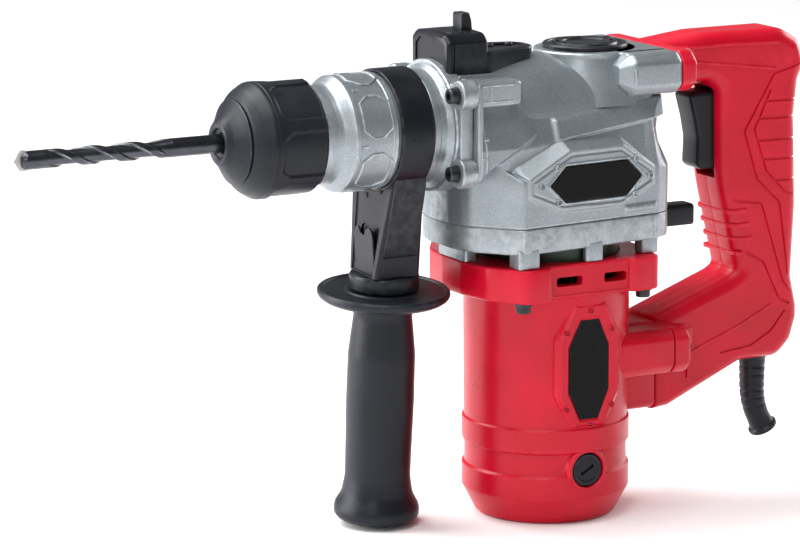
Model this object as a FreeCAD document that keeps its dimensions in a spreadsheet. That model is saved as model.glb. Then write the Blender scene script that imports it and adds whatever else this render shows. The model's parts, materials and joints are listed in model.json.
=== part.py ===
"""Rotary hammer with a vertical motor, a D-shaped rear handle and a side handle.

Millimetres, +Z up. The spindle turns about X and the mouth of the chuck is at the origin:
the bit points toward -X, the rear handle is toward +X and the motor hangs down below the gears.
"""
import FreeCAD, Part
import math
import os
import re

import Sketcher
from fcgear import fcgear, involute

os.makedirs("parts", exist_ok=True)
doc = FreeCAD.newDocument("RotaryHammer")
sheet = doc.addObject("Spreadsheet::Sheet", "Sizes")

sizes = {
    # gaps: a running fit, a piece seated in a bore, and pieces that pass each other
    "run_gap": 0.05,
    "seat_gap": 0.1,
    "free_gap": 0.4,
    # drill bit with its 10 mm shank
    "shank_radius": 5.0,
    "shank_depth": 40.0,
    "bit_reach": 121.0,
    "flute_end": 35.0,
    "flute_radius": 4.9,
    "tip_length": 7.0,
    "tip_width": 10.7,
    "tip_thickness": 2.4,
    "groove_front": 18.0,
    "groove_length": 16.0,
    "groove_radius": 3.6,
    # spindle, from the nose back to the open end of the cylinder
    "spindle_front": 3.0,
    "nose_radius": 13.0,
    "shoulder_place": 38.0,
    "spindle_radius": 17.5,
    "chamber_front": 51.0,
    "chamber_radius": 8.5,
    "cylinder_front": 78.0,
    "cylinder_radius": 13.5,
    "spindle_end": 168.0,
    "ball_radius": 3.3,
    "ball_place": 22.0,
    "ball_offset": 7.0,
    # dust cap, retaining ring, sleeve and its spring
    "cap_front": -5.0,
    "cap_rim_radius": 11.5,
    "cap_radius": 23.0,
    "cap_end": 4.6,
    "cap_hub_radius": 15.5,
    "cap_hub_end": 9.0,
    "ring_width": 1.5,
    "sleeve_front": 5.0,
    "sleeve_radius": 31.2,
    "sleeve_cone_end": 14.0,
    "sleeve_end": 46.5,
    "sleeve_web_front": 14.0,
    "sleeve_web_end": 26.0,
    "sleeve_bore": 28.0,
    "sleeve_chamfer": 2.2,
    "spring_radius": 15.2,
    "spring_wire": 0.7,
    "spring_pitch": 1.5,
    "spring_turns": 3,
    # front housing, the cast barrel
    "neck_front": 45.0,
    "neck_radius": 26.5,
    "flare_front": 55.0,
    "flare_end": 62.0,
    "barrel_radius": 31.0,
    "strap_front": 88.0,
    "strap_width": 20.0,
    "strap_groove": 0.3,
    "flange_front": 119.0,
    "flange_end": 128.0,
    "flange_radius": 36.0,
    "lug_side": 36.0,
    "lug_height": 21.0,
    "lug_radius": 8.0,
    "lip_end": 47.0,
    "seal_end": 55.0,
    "front_bore": 23.0,
    "needle_front": 57.0,
    "needle_end": 71.0,
    "barrel_shoulder": 75.0,
    "barrel_bore": 26.0,
    "barrel_screw_radius": 2.5,
    "barrel_screw_head": 4.25,
    "barrel_screw_length": 22.0,
    "screw_head_height": 5.5,
    # spindle's rear bearing
    "rear_bearing_front": 129.0,
    "rear_bearing_width": 8.0,
    "rear_bearing_radius": 27.0,
    # motor line, crank line and countershaft line
    "motor_axis": 196.0,
    "gear_module": 1.0,
    "pinion_teeth": 9,
    "crank_teeth": 38,
    "counter_teeth": 31,
    "pinion_shift": 0.33,
    "wheel_shift": 0.42,
    "tooth_top": 0.8,
    "tooth_root": 1.1,
    "pinion_stub_radius": 3.5,
    "gear_floor": -50.0,
    "gear_width": 8.0,
    "bevel_module": 1.5,
    "bevel_pinion_teeth": 12,
    "bevel_gear_teeth": 36,
    "bevel_face": 7.0,
    "bevel_top": 0.75,
    "bevel_root": 1.15,
    "bevel_thickness": 1.3,
    "bevel_hub_radius": 22.0,
    "bevel_hub_length": 10.0,
    "crank_shaft_radius": 6.0,
    "counter_shaft_radius": 5.0,
    "shaft_foot": -63.5,
    "crank_throw": 8.0,
    "crank_disc_radius": 14.0,
    "crank_disc_floor": -16.0,
    "crank_disc_top": -9.5,
    "crank_bearing_radius": 13.0,
    "crank_web_floor": -28.0,
    "crank_web_height": 8.0,
    "lower_bearing_radius": 9.9,
    "counter_bearing_radius": 7.5,
    "counter_web_floor": -38.0,
    "counter_web_height": 6.0,
    "shaft_bearing_width": 6.0,
    # piston, rod, striker and impact bolt
    "piston_front": 110.0,
    "piston_length": 30.0,
    "piston_ring_place": 115.0,
    "piston_ring_width": 3.0,
    "wrist_setback": 22.0,
    "wrist_radius": 3.5,
    "rod_height": 9.0,
    "rod_width": 8.0,
    "rod_eye_radius": 9.5,
    "crank_pin_radius": 4.5,
    "piston_socket_radius": 10.0,
    "piston_face": 6.0,
    "striker_front": 80.0,
    "striker_length": 24.0,
    "striker_nose": 8.0,
    "striker_nose_radius": 7.0,
    "striker_ring_place": 94.0,
    "impact_front": 40.4,
    "impact_shank_radius": 4.9,
    "impact_shoulder": 52.5,
    "impact_body_end": 68.0,
    "impact_end": 76.5,
    "impact_stem_radius": 6.0,
    # gear housing
    "housing_floor": -52.5,
    "block_top": -27.0,
    "slope_top": 4.0,
    "housing_front": 128.0,
    "plate_end": 137.0,
    "plate_side": 43.0,
    "plate_top": 28.0,
    "shoulder_side": 42.0,
    "shoulder_floor": 15.0,
    "shoulder_end": 157.0,
    "corner_place": 153.0,
    "corner_side": 50.0,
    "rear_corner_place_reach": 47.0,
    "rear_corner_side": 41.0,
    "housing_rear_reach": 62.0,
    "rear_flat_side": 20.0,
    "crown_side": 36.0,
    "crown_radius": 35.2,
    "crown_rear_reach": 53.0,
    "cavity_radius": 30.5,
    "cavity_side": 33.0,
    "cavity_front": 152.0,
    "cavity_rear_reach": 50.0,
    "cavity_top": -5.0,
    "boss_side": 32.0,
    "boss_height": 24.5,
    "boss_radius": 11.5,
    "boss_front_reach": 29.0,
    "boss_end_reach": 60.0,
    "arm_plate_thickness": 4.0,
    "grease_collar_radius": 28.5,
    "grease_bore": 19.0,
    "grease_seat": 36.0,
    "grease_cap_radius": 23.5,
    "grease_cap_height": 3.5,
    "grease_plug_depth": 7.0,
    # gear cover
    "cover_floor": -66.0,
    "leg_floor": -74.3,
    "shaft_hole": 6.6,
    "motor_bearing_radius": 11.0,
    "motor_bearing_width": 7.0,
    # motor housing
    "ring_floor": -93.0,
    "ring_front": 136.0,
    "ring_corner_side": 53.0,
    "ring_corner_front": 153.0,
    "ring_corner_end": 168.0,
    "ring_side": 46.0,
    "ring_rear_front_reach": 15.0,
    "ring_rear_side": 49.0,
    "ring_rear_reach": 47.0,
    "cup_radius": 45.2,
    "cup_bore": 40.5,
    "band_top": -167.0,
    "band_floor": -180.0,
    "band_proud": 1.2,
    "cup_step": -193.0,
    "cup_chamfer_top": -206.0,
    "cup_floor": -221.0,
    "cup_floor_radius": 38.5,
    "cup_inside_floor": -214.0,
    "low_bearing_top": -204.0,
    "low_bearing_radius": 9.0,
    "low_bearing_width": 7.0,
    "low_seat_wall": 4.5,
    "low_journal_radius": 4.0,
    "arm_boss_side": 28.0,
    "arm_boss_half": 10.0,
    "arm_boss_top": -119.0,
    "arm_boss_floor": -145.0,
    "arm_boss_front_reach": 30.0,
    "arm_boss_end_reach": 61.0,
    "motor_screw_front": 155.0,
    "motor_screw_rear_reach": 39.0,
    "motor_screw_front_side": 45.0,
    "motor_screw_rear_side": 38.0,
    "motor_screw_radius": 2.5,
    "motor_screw_head": 4.0,
    "motor_screw_head_height": 4.0,
    "washer_radius": 5.0,
    "washer_height": 1.6,
    # armature, stator, brushes
    "armature_shaft_radius": 6.0,
    "armature_top": -53.0,
    "core_top": -112.0,
    "core_floor": -162.0,
    "core_radius": 26.5,
    "winding_radius": 23.5,
    "winding_length": 10.0,
    "winding_core": 8.0,
    "commutator_radius": 14.0,
    "commutator_top": -181.0,
    "commutator_length": 18.0,
    "stator_bore": 27.5,
    "stator_radius": 40.0,
    "coil_inner": 29.0,
    "coil_outer": 38.0,
    "coil_length": 11.0,
    "coil_split": 8.0,
    "fan_top": -80.0,
    "fan_height": 12.0,
    "fan_radius": 37.0,
    "fan_hub_radius": 12.0,
    "fan_plate": 2.0,
    "fan_blades": 11,
    "blade_thickness": 1.6,
    "baffle_thickness": 2.0,
    "baffle_radius": 39.5,
    "baffle_bore": 24.0,
    "brush_height": -190.0,
    "brush_width": 6.0,
    "brush_length": 16.0,
    "brush_tube_radius": 6.8,
    "brush_tube_inner": 16.0,
    "brush_collar_radius": 12.0,
    "brush_collar_end": 46.4,
    "brush_cap_radius": 9.5,
    "brush_cap_inner": 41.0,
    "brush_cap_end": 46.0,
    "brush_slot_width": 2.2,
    "brush_slot_depth": 1.5,
    # rear handle
    "arm_half_width": 17.0,
    "handle_wall": 3.0,
    "arm_top": 40.0,
    "arm_under": 13.0,
    "grip_back_reach": 160.0,
    "grip_front_reach": 104.0,
    "grip_low": -97.0,
    "collar_length": 10.0,
    "low_collar_length": 11.0,
    "taper_length": 18.0,
    "bolt_head_radius": 3.6,
    "bolt_head_height": 4.0,
    "bolt_radius": 2.4,
    "upper_bolt_length": 26.0,
    "lower_bolt_length": 27.0,
    "heel_height": -122.0,
    "handle_bottom": -148.0,
    "low_arm_top": -116.0,
    "low_arm_bottom": -170.0,
    # switch, trigger, cable boot
    "trigger_half": 9.0,
    "trigger_front_reach": 86.0,
    "trigger_top": 7.0,
    "trigger_bottom": -35.5,
    "trigger_rear_reach": 110.0,
    "switch_front_reach": 121.0,
    "switch_depth": 26.0,
    "switch_top": -2.0,
    "switch_floor": -44.0,
    "boot_radius": 7.0,
    "boot_bore": 4.1,
    "boot_flange": 10.0,
    "boot_bend": 42.0,
    "boot_lean": 28.0,
    "boot_drop": 18.0,
    "boot_tail": 8.0,
    "boot_rim_radius": 8.5,
    "boot_rim_height": 2.5,
    "boot_place_reach": 137.0,
    # selectors
    "selector_front": 122.0,
    "selector_block_end": 147.0,
    "selector_end": 183.0,
    "selector_half": 20.0,
    "selector_tail_half": 13.0,
    "selector_floor": 27.0,
    "selector_top": 51.0,
    "selector_tail_top": 40.5,
    "tab_front": 139.0,
    "tab_length": 9.0,
    "tab_half": 5.0,
    "tab_floor": 43.0,
    "tab_top": 60.0,
    "lever_pivot_reach": 56.0,
    "lever_side": -10.0,
    "lever_height": -59.5,
    "lever_thickness": 6.0,
    "lever_reach": 30.0,
    "lever_half": 6.0,
    "lever_pin_radius": 3.0,
    "lever_pin_height": 5.0,
    "lever_slot_half": 11.0,
    # side handle, drawn upright and then leaned about the spindle
    "grip_lean": 4.0,
    "strap_thickness": 1.6,
    "grip_axis": 97.5,
    "bracket_top": -27.0,
    "bracket_floor": -80.0,
    "bracket_top_half": 23.5,
    "bracket_floor_half": 15.0,
    "bracket_floor_length": 28.0,
    "rod_hole_radius": 4.0,
    "rod_hole_height": -56.0,
    "guard_collar_radius": 19.0,
    "guard_top": -88.4,
    "guard_radius": 36.3,
    "guard_edge": 2.6,
    "guard_floor": -94.5,
    "grip_neck_radius": 16.0,
    "grip_belly_radius": 18.6,
    "grip_end_radius": 23.5,
    "grip_end": -218.0,
    "stud_radius": 4.0,
    "stud_top": -62.0,
    "stud_end": -150.0,
    "stud_head_radius": 6.5,
    "stud_head_height": 5.0,
    "nut_radius": 7.0,
    "nut_height": 8.0,
    # name plates, blank
    "badge_place_reach": 4.0,
    "badge_height": -30.0,
    "badge_length": 61.0,
    "badge_width": 19.0,
    "badge_thickness": 2.0,
    "badge_proud": 0.8,
    "badge_point": 10.0,
    "badge_corner": 8.0,
    "badge_margin": 5.0,
    "badge_frame_depth": 6.0,
    "motor_badge_height": -134.0,
    "motor_badge_length": 54.0,
    "motor_badge_width": 24.0,
}
for row, (alias, value) in enumerate(sizes.items(), 1):
    sheet.set("A%d" % row, alias)
    sheet.set("B%d" % row, str(value))
    sheet.setAlias("B%d" % row, alias)
doc.recompute()

pieces = []
turn_to = {
    "z": FreeCAD.Rotation(),
    "x": FreeCAD.Rotation(FreeCAD.Vector(0, 1, 0), 90),
    "y": FreeCAD.Rotation(FreeCAD.Vector(1, 0, 0), -90),
}


# places on the motor's side of the tool are kept as distances behind the motor's axis
behind_motor = (
    "rear_corner_place", "housing_rear", "crown_rear", "cavity_rear", "boss_front", "boss_end",
    "ring_rear_front", "ring_rear", "arm_boss_front", "arm_boss_end", "motor_screw_rear",
    "grip_back", "grip_front", "trigger_front", "trigger_rear", "switch_front", "boot_place",
    "lever_pivot", "badge_place")


def spell(text):
    """Turn the alias words of a size expression into references to the sheet's cells."""
    def cell(word):
        name = word.group()
        if name in behind_motor:
            return "(Sizes.motor_axis + Sizes.%s_reach)" % name
        return "Sizes." + name
    return re.sub(r"[a-z]+(?:_[a-z]+)+", cell, str(text))


def size(text):
    """The present value of a size expression."""
    return float(sheet.evalExpression(spell(text)))


def keep(label, item):
    """Name a finished sub-part; its label is also its file's name."""
    item.Label = label
    pieces.append(item)
    return item


def place(item, at, along="z", spin=0):
    """Put an item at a point given as three size expressions, its own Z along the named axis."""
    own_turn = FreeCAD.Rotation(FreeCAD.Vector(0, 0, 1), spin)
    item.Placement = FreeCAD.Placement(FreeCAD.Vector(), turn_to[along].multiply(own_turn))
    for letter, text in zip("xyz", at):
        item.setExpression("Placement.Base." + letter, spell(text))
    return item


def lean(item):
    """Lean a side-handle piece about the spindle's axis."""
    item.Placement = FreeCAD.Placement(FreeCAD.Vector(), FreeCAD.Rotation(FreeCAD.Vector(1, 0, 0), 1))
    item.setExpression("Placement.Rotation.Angle", spell("grip_lean"))
    return item


def cylinder(radius, length, at, along="z"):
    item = doc.addObject("Part::Cylinder", "Cylinder")
    item.setExpression("Radius", spell(radius))
    item.setExpression("Height", spell(length))
    return place(item, at, along)


def box(low, high):
    """A box between two corners, each given as three size expressions."""
    item = doc.addObject("Part::Box", "Box")
    for side, start, stop in zip(("Length", "Width", "Height"), low, high):
        item.setExpression(side, spell("(%s) - (%s)" % (stop, start)))
    return place(item, low)


def ball(radius, at):
    item = doc.addObject("Part::Sphere", "Ball")
    item.setExpression("Radius", spell(radius))
    return place(item, at)


def fuse(parts):
    item = doc.addObject("Part::MultiFuse", "Fuse")
    item.Shapes = parts
    return item


def group(parts):
    """Several separate solids kept as one sub-part."""
    item = doc.addObject("Part::Compound", "Group")
    item.Links = parts
    return item


def cut(base, tools):
    item = doc.addObject("Part::Cut", "Cut")
    item.Base = base
    item.Tool = tools[0] if len(tools) == 1 else fuse(tools)
    return item


def new_body(at=("0", "0", "0")):
    return place(doc.addObject("PartDesign::Body", "Body"), at)


def outline(body, plane, points, lift="0"):
    """A closed outline on one of the body's own planes; every point is bound to the sheet."""
    sketch = body.newObject("Sketcher::SketchObject", "Outline")
    sketch.AttachmentSupport = [(origin_part(body, plane), "")]
    sketch.MapMode = "FlatFace"
    sketch.setExpression("AttachmentOffset.Base.z", spell(lift))
    spots = [FreeCAD.Vector(size(first), size(second), 0) for first, second in points]
    after = spots[1:] + spots[:1]
    sketch.addGeometry([Part.LineSegment(start, stop) for start, stop in zip(spots, after)])
    count = len(points)
    for index in range(count):
        sketch.addConstraint(Sketcher.Constraint("Coincident", index, 2, (index + 1) % count, 1))
    for index, pair in enumerate(points):
        for kind, text in zip(("DistanceX", "DistanceY"), pair):
            name = sketch.addConstraint(Sketcher.Constraint(kind, -1, 1, index, 1, size(text)))
            sketch.setExpression("Constraints[%d]" % name, spell(text))
    return sketch


def origin_part(body, role):
    return next(item for item in body.Origin.OriginFeatures if item.Role == role)


def turned(axis, points, at=("0", "0", "0")):
    """A turned piece. Points are (along, radius) about X, or (radius, along) about Z."""
    body = new_body(at)
    item = body.newObject("PartDesign::Revolution", "Turning")
    item.Profile = outline(body, "XZ_Plane", points)
    item.ReferenceAxis = (origin_part(body, axis + "_Axis"), [""])
    item.Angle = 360
    return body


def slab(plane, points, start, stop):
    """A straight slab between two levels along the plane's axis."""
    body = new_body()
    lift = "-(%s)" % stop if plane == "XZ_Plane" else start
    item = body.newObject("PartDesign::Pad", "Pad")
    item.Profile = outline(body, plane, points, lift)
    item.setExpression("Length", spell("(%s) - (%s)" % (stop, start)))
    return body


def loft(plane, first, second, start, stop):
    """A ruled piece between two outlines with as many points each."""
    body = new_body()
    item = body.newObject("PartDesign::AdditiveLoft", "Loft")
    item.Profile = outline(body, plane, first, start)
    item.Sections = [outline(body, plane, second, stop)]
    item.Ruled = True
    return body


def mirrored(points):
    """Close a half outline, given from front to rear with y negative, across y = 0."""
    return points + [(along, "-(%s)" % side) for along, side in reversed(points)]


def shape(make):
    """A sub-part whose shape is computed; its sizes are read from the sheet."""
    item = doc.addObject("Part::Feature", "Shape")
    item.Shape = make
    return item


# ---------------------------------------------------------------- derived places
crank_axis = "(motor_axis + gear_module * (pinion_teeth + crank_teeth) / 2)"
counter_axis = "(motor_axis - gear_module * (pinion_teeth + counter_teeth) / 2)"
bevel_radius = "(bevel_module * bevel_gear_teeth / 2)"
strap_end = "(strap_front + strap_width)"
bearing_end = "(rear_bearing_front + rear_bearing_width)"


# ---------------------------------------------------------------- gears
def spur_gear(teeth, shift, bore):
    """An involute gear standing on its own XY plane, with a tooth centred on +X."""
    wire = fcgear.FCWireBuilder()
    involute.CreateExternalGear(
        wire, size("gear_module"), int(size(teeth)), 20, True,
        size("tooth_top"), size("tooth_root"), 0.2, size(shift))
    teeth_face = Part.Face(Part.Wire([edge.toShape() for edge in wire.wire]))
    blank = teeth_face.extrude(FreeCAD.Vector(0, 0, size("gear_width")))
    if bore:
        blank = blank.cut(Part.makeCylinder(size(bore), size("gear_width")))
    return blank


def bevel_gear(teeth, mate):
    """A straight bevel gear about Z with its cone's point at the origin and its back below."""
    module = size("bevel_module")
    radius = module * size(teeth) / 2
    depth = module * size(mate) / 2
    reach = math.hypot(radius, depth)
    along = FreeCAD.Vector(radius / reach, 0, -depth / reach)
    outward = FreeCAD.Vector(depth / reach, 0, radius / reach)
    inner = (reach - size("bevel_face")) / reach
    slope = math.tan(math.radians(22))

    def tooth_section(scale):
        """Four corners of a tooth, wider at its root, drawn toward the cone's point by scale."""
        corners = []
        for height in (-size("bevel_root"), size("bevel_top")):
            half = size("bevel_thickness") / 2 - height * slope
            for side in (-half, half) if height < 0 else (half, -half):
                corner = along * reach + outward * (height * module) + FreeCAD.Vector(0, side * module, 0)
                corners.append(corner * scale)
        return Part.makePolygon(corners + corners[:1])

    tooth = Part.makeLoft([tooth_section(inner), tooth_section(1)], True, True)
    rim = along * reach - outward * (module * (size("bevel_root") - 0.15))
    lip = rim * inner
    back = rim.z - 2
    web = Part.makePolygon([
        FreeCAD.Vector(0, 0, lip.z), lip, rim, FreeCAD.Vector(rim.x, 0, back),
        FreeCAD.Vector(0, 0, back), FreeCAD.Vector(0, 0, lip.z)])
    root = Part.Face(web).revolve(FreeCAD.Vector(), FreeCAD.Vector(0, 0, 1), 360)
    teeth_around = []
    for index in range(int(size(teeth))):
        copy = tooth.copy()
        copy.rotate(FreeCAD.Vector(), FreeCAD.Vector(0, 0, 1), index * 360 / size(teeth))
        teeth_around.append(copy)
    return root.multiFuse(teeth_around)


# ---------------------------------------------------------------- drill bit
def make_bit():
    shank = turned("X", [
        ("-bit_reach + tip_length", "0"), ("-bit_reach + tip_length", "flute_radius - 1"),
        ("-bit_reach + tip_length + 1", "flute_radius"), ("-flute_end", "flute_radius"),
        ("-flute_end", "shank_radius"), ("shank_depth - 1", "shank_radius"),
        ("shank_depth", "shank_radius - 1"), ("shank_depth", "0")])
    grooves = [
        cylinder("groove_radius", "groove_length", ("groove_front", "0", side + "ball_offset"), "x")
        for side in ("", "-")]
    keep("drill_bit", cut(shank, grooves))
    tip = slab("XZ_Plane", [
        ("-bit_reach", "0"), ("-bit_reach + tip_length / 2", "tip_width / 2"),
        ("-bit_reach + tip_length", "tip_width / 2"), ("-bit_reach + tip_length", "-tip_width / 2"),
        ("-bit_reach + tip_length / 2", "-tip_width / 2")], "-tip_thickness / 2", "tip_thickness / 2")
    keep("carbide_tip", tip)


# ---------------------------------------------------------------- spindle and chuck
def make_spindle():
    bore = "shank_radius + run_gap"
    tube = turned("X", [
        ("spindle_front", bore), ("spindle_front", "nose_radius"), ("shoulder_place", "nose_radius"),
        ("shoulder_place", "spindle_radius"), ("spindle_end", "spindle_radius"),
        ("spindle_end", "cylinder_radius"), ("cylinder_front", "cylinder_radius"),
        ("cylinder_front", "chamber_radius"), ("chamber_front", "chamber_radius"),
        ("chamber_front", bore)])
    depth = "(ball_offset + ball_radius + free_gap)"
    holes = [
        cylinder("ball_radius + seat_gap", depth, ("ball_place", "0", "0")),
        cylinder("ball_radius + seat_gap", depth, ("ball_place", "0", "-" + depth))]
    keep("spindle", cut(tube, holes))
    balls = [ball("ball_radius", ("ball_place", "0", side + "ball_offset")) for side in ("", "-")]
    keep("locking_balls", group(balls))

    hub = "nose_radius + seat_gap"
    keep("dust_cap", turned("X", [
        ("cap_front", "shank_radius + free_gap"), ("cap_front", "cap_rim_radius"),
        ("cap_front + 2", "cap_rim_radius + 3.7"), ("cap_front + 5", "cap_rim_radius + 7.7"),
        ("cap_end - 2", "cap_radius - 1.4"), ("cap_end", "cap_radius"), ("cap_end", "cap_hub_radius"),
        ("cap_hub_end", "cap_hub_radius"), ("cap_hub_end", hub), ("spindle_front", hub),
        ("spindle_front", "shank_radius + free_gap")]))
    keep("retaining_ring", turned("X", [
        ("cap_hub_end", hub), ("cap_hub_end", "cap_hub_radius"),
        ("cap_hub_end + ring_width", "cap_hub_radius"), ("cap_hub_end + ring_width", hub)]))

    turns = []
    for index in range(int(size("spring_turns"))):
        turn = doc.addObject("Part::Torus", "Turn")
        turn.setExpression("Radius1", spell("spring_radius"))
        turn.setExpression("Radius2", spell("spring_wire"))
        turns.append(place(turn, ("shoulder_place - spring_wire - %d * spring_pitch" % index, "0", "0"),
            "x"))
    keep("release_spring", group(turns))

    gear = bevel_gear("bevel_gear_teeth", "bevel_pinion_teeth")
    gear_back = gear.BoundBox.ZMin
    hub_length = size("bevel_hub_length")
    hub_end = FreeCAD.Vector(0, 0, gear_back - hub_length)
    gear = gear.fuse(Part.makeCylinder(size("bevel_hub_radius"), hub_length, hub_end))
    gear = gear.cut(Part.makeCylinder(size("spindle_radius + seat_gap"), 60, FreeCAD.Vector(0, 0, -60)))
    half_pitch = 180 / size("bevel_gear_teeth")
    keep("bevel_gear", place(shape(gear), (counter_axis, "0", "0"), "x", half_pitch))


def make_sleeve():
    skirt = "sleeve_bore"
    keep("chuck_sleeve", turned("X", [
        ("sleeve_front", "cap_hub_radius + free_gap"), ("sleeve_front", "cap_radius"),
        ("sleeve_cone_end - 5", "sleeve_radius - 3.6"), ("sleeve_cone_end", "sleeve_radius"),
        ("sleeve_end - sleeve_chamfer", "sleeve_radius"), ("sleeve_end", "sleeve_radius - sleeve_chamfer"),
        ("sleeve_end", skirt), ("sleeve_web_end", skirt), ("sleeve_web_end", "nose_radius + run_gap"),
        ("sleeve_web_front", "nose_radius + run_gap"),
        ("sleeve_web_front", "cap_hub_radius + free_gap")]))


# ---------------------------------------------------------------- front housing
def lug_places():
    return [(side + "lug_side", up + "lug_height") for side in ("", "-") for up in ("", "-")]


def make_front_housing():
    groove = "barrel_radius - strap_groove"
    barrel = turned("X", [
        ("neck_front", "spindle_radius + free_gap"), ("neck_front", "neck_radius"),
        ("flare_front", "neck_radius"), ("(flare_front + flare_end) / 2", "neck_radius + 1.6"),
        ("flare_end", "barrel_radius"), ("strap_front - free_gap", "barrel_radius"),
        ("strap_front - free_gap", groove), (strap_end + " + free_gap", groove),
        (strap_end + " + free_gap", "barrel_radius"), ("flange_front", "barrel_radius"),
        ("flange_front", "flange_radius"), ("flange_end", "flange_radius"),
        ("flange_end", "barrel_bore"), ("barrel_shoulder", "barrel_bore"),
        ("barrel_shoulder", "spindle_radius + 1"), ("needle_end", "spindle_radius + 1"),
        ("needle_end", "front_bore + seat_gap"), ("lip_end", "front_bore + seat_gap"),
        ("lip_end", "spindle_radius + free_gap")])
    wall = "flange_end - flange_front"
    lugs = []
    holes = []
    for side, height in lug_places():
        lugs.append(cylinder("lug_radius", wall, ("flange_front", side, height), "x"))
        holes.append(cylinder("barrel_screw_radius + seat_gap", wall + " + 2",
                              ("flange_front - 1", side, height), "x"))
    lugs.append(box(("flange_front", "-lug_side", "-lug_height - 4"),
                    ("flange_end", "lug_side", "lug_height + 4")))
    tube_room = cylinder("barrel_bore", wall + " + 2", ("flange_front - 1", "0", "0"), "x")
    plate = cut(fuse(lugs), [tube_room])
    keep("front_housing", cut(fuse([barrel, plate]), holes))

    seal_outer = "front_bore"
    keep("front_seal", turned("X", [
        ("lip_end", "spindle_radius + run_gap"), ("lip_end", seal_outer), ("seal_end", seal_outer),
        ("seal_end", "spindle_radius + run_gap")]))
    needle = turned("X", [
        ("needle_front", "spindle_radius + run_gap"), ("needle_front", seal_outer),
        ("needle_end", seal_outer), ("needle_end", "spindle_radius + run_gap")])
    rear_bearing = turned("X", [
        ("rear_bearing_front", "spindle_radius + run_gap"), ("rear_bearing_front", "rear_bearing_radius"),
        (bearing_end, "rear_bearing_radius"), (bearing_end, "spindle_radius + run_gap")])
    keep("spindle_bearings", group([needle, rear_bearing]))

    screws = []
    for side, height in lug_places():
        head = cylinder("barrel_screw_head", "screw_head_height",
                        ("flange_front - screw_head_height", side, height), "x")
        shaft = cylinder("barrel_screw_radius", "barrel_screw_length", ("flange_front", side, height), "x")
        socket = cylinder("barrel_screw_head / 2", "screw_head_height / 2",
                          ("flange_front - screw_head_height", side, height), "x")
        screws.append(cut(fuse([head, shaft]), [socket]))
    keep("barrel_screws", group(screws))


# ---------------------------------------------------------------- gear housing
def plan_points(front, side_cut="0"):
    """Half plan of the gear case from front to rear; side_cut narrows it."""
    return [
        (front, "-12"), (front + " + 6", "-30 + " + side_cut),
        (front + " + 15", "-plate_side + 1 + " + side_cut),
        ("corner_place", "-corner_side + " + side_cut),
        ("rear_corner_place", "-rear_corner_side + " + side_cut),
        ("housing_rear - 5", "-34 + " + side_cut), ("housing_rear", "-rear_flat_side")]


def crown_plan():
    """Half plan of the slope's upper edge, with the same points as the plan below it."""
    return [
        ("housing_front", "-12"), ("housing_front + 6", "-28"), ("housing_front + 15", "-crown_side"),
        ("corner_place + 4", "-crown_side"), ("crown_rear - 8", "-crown_side"),
        ("crown_rear - 3", "-30"), ("crown_rear", "-rear_flat_side")]


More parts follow.
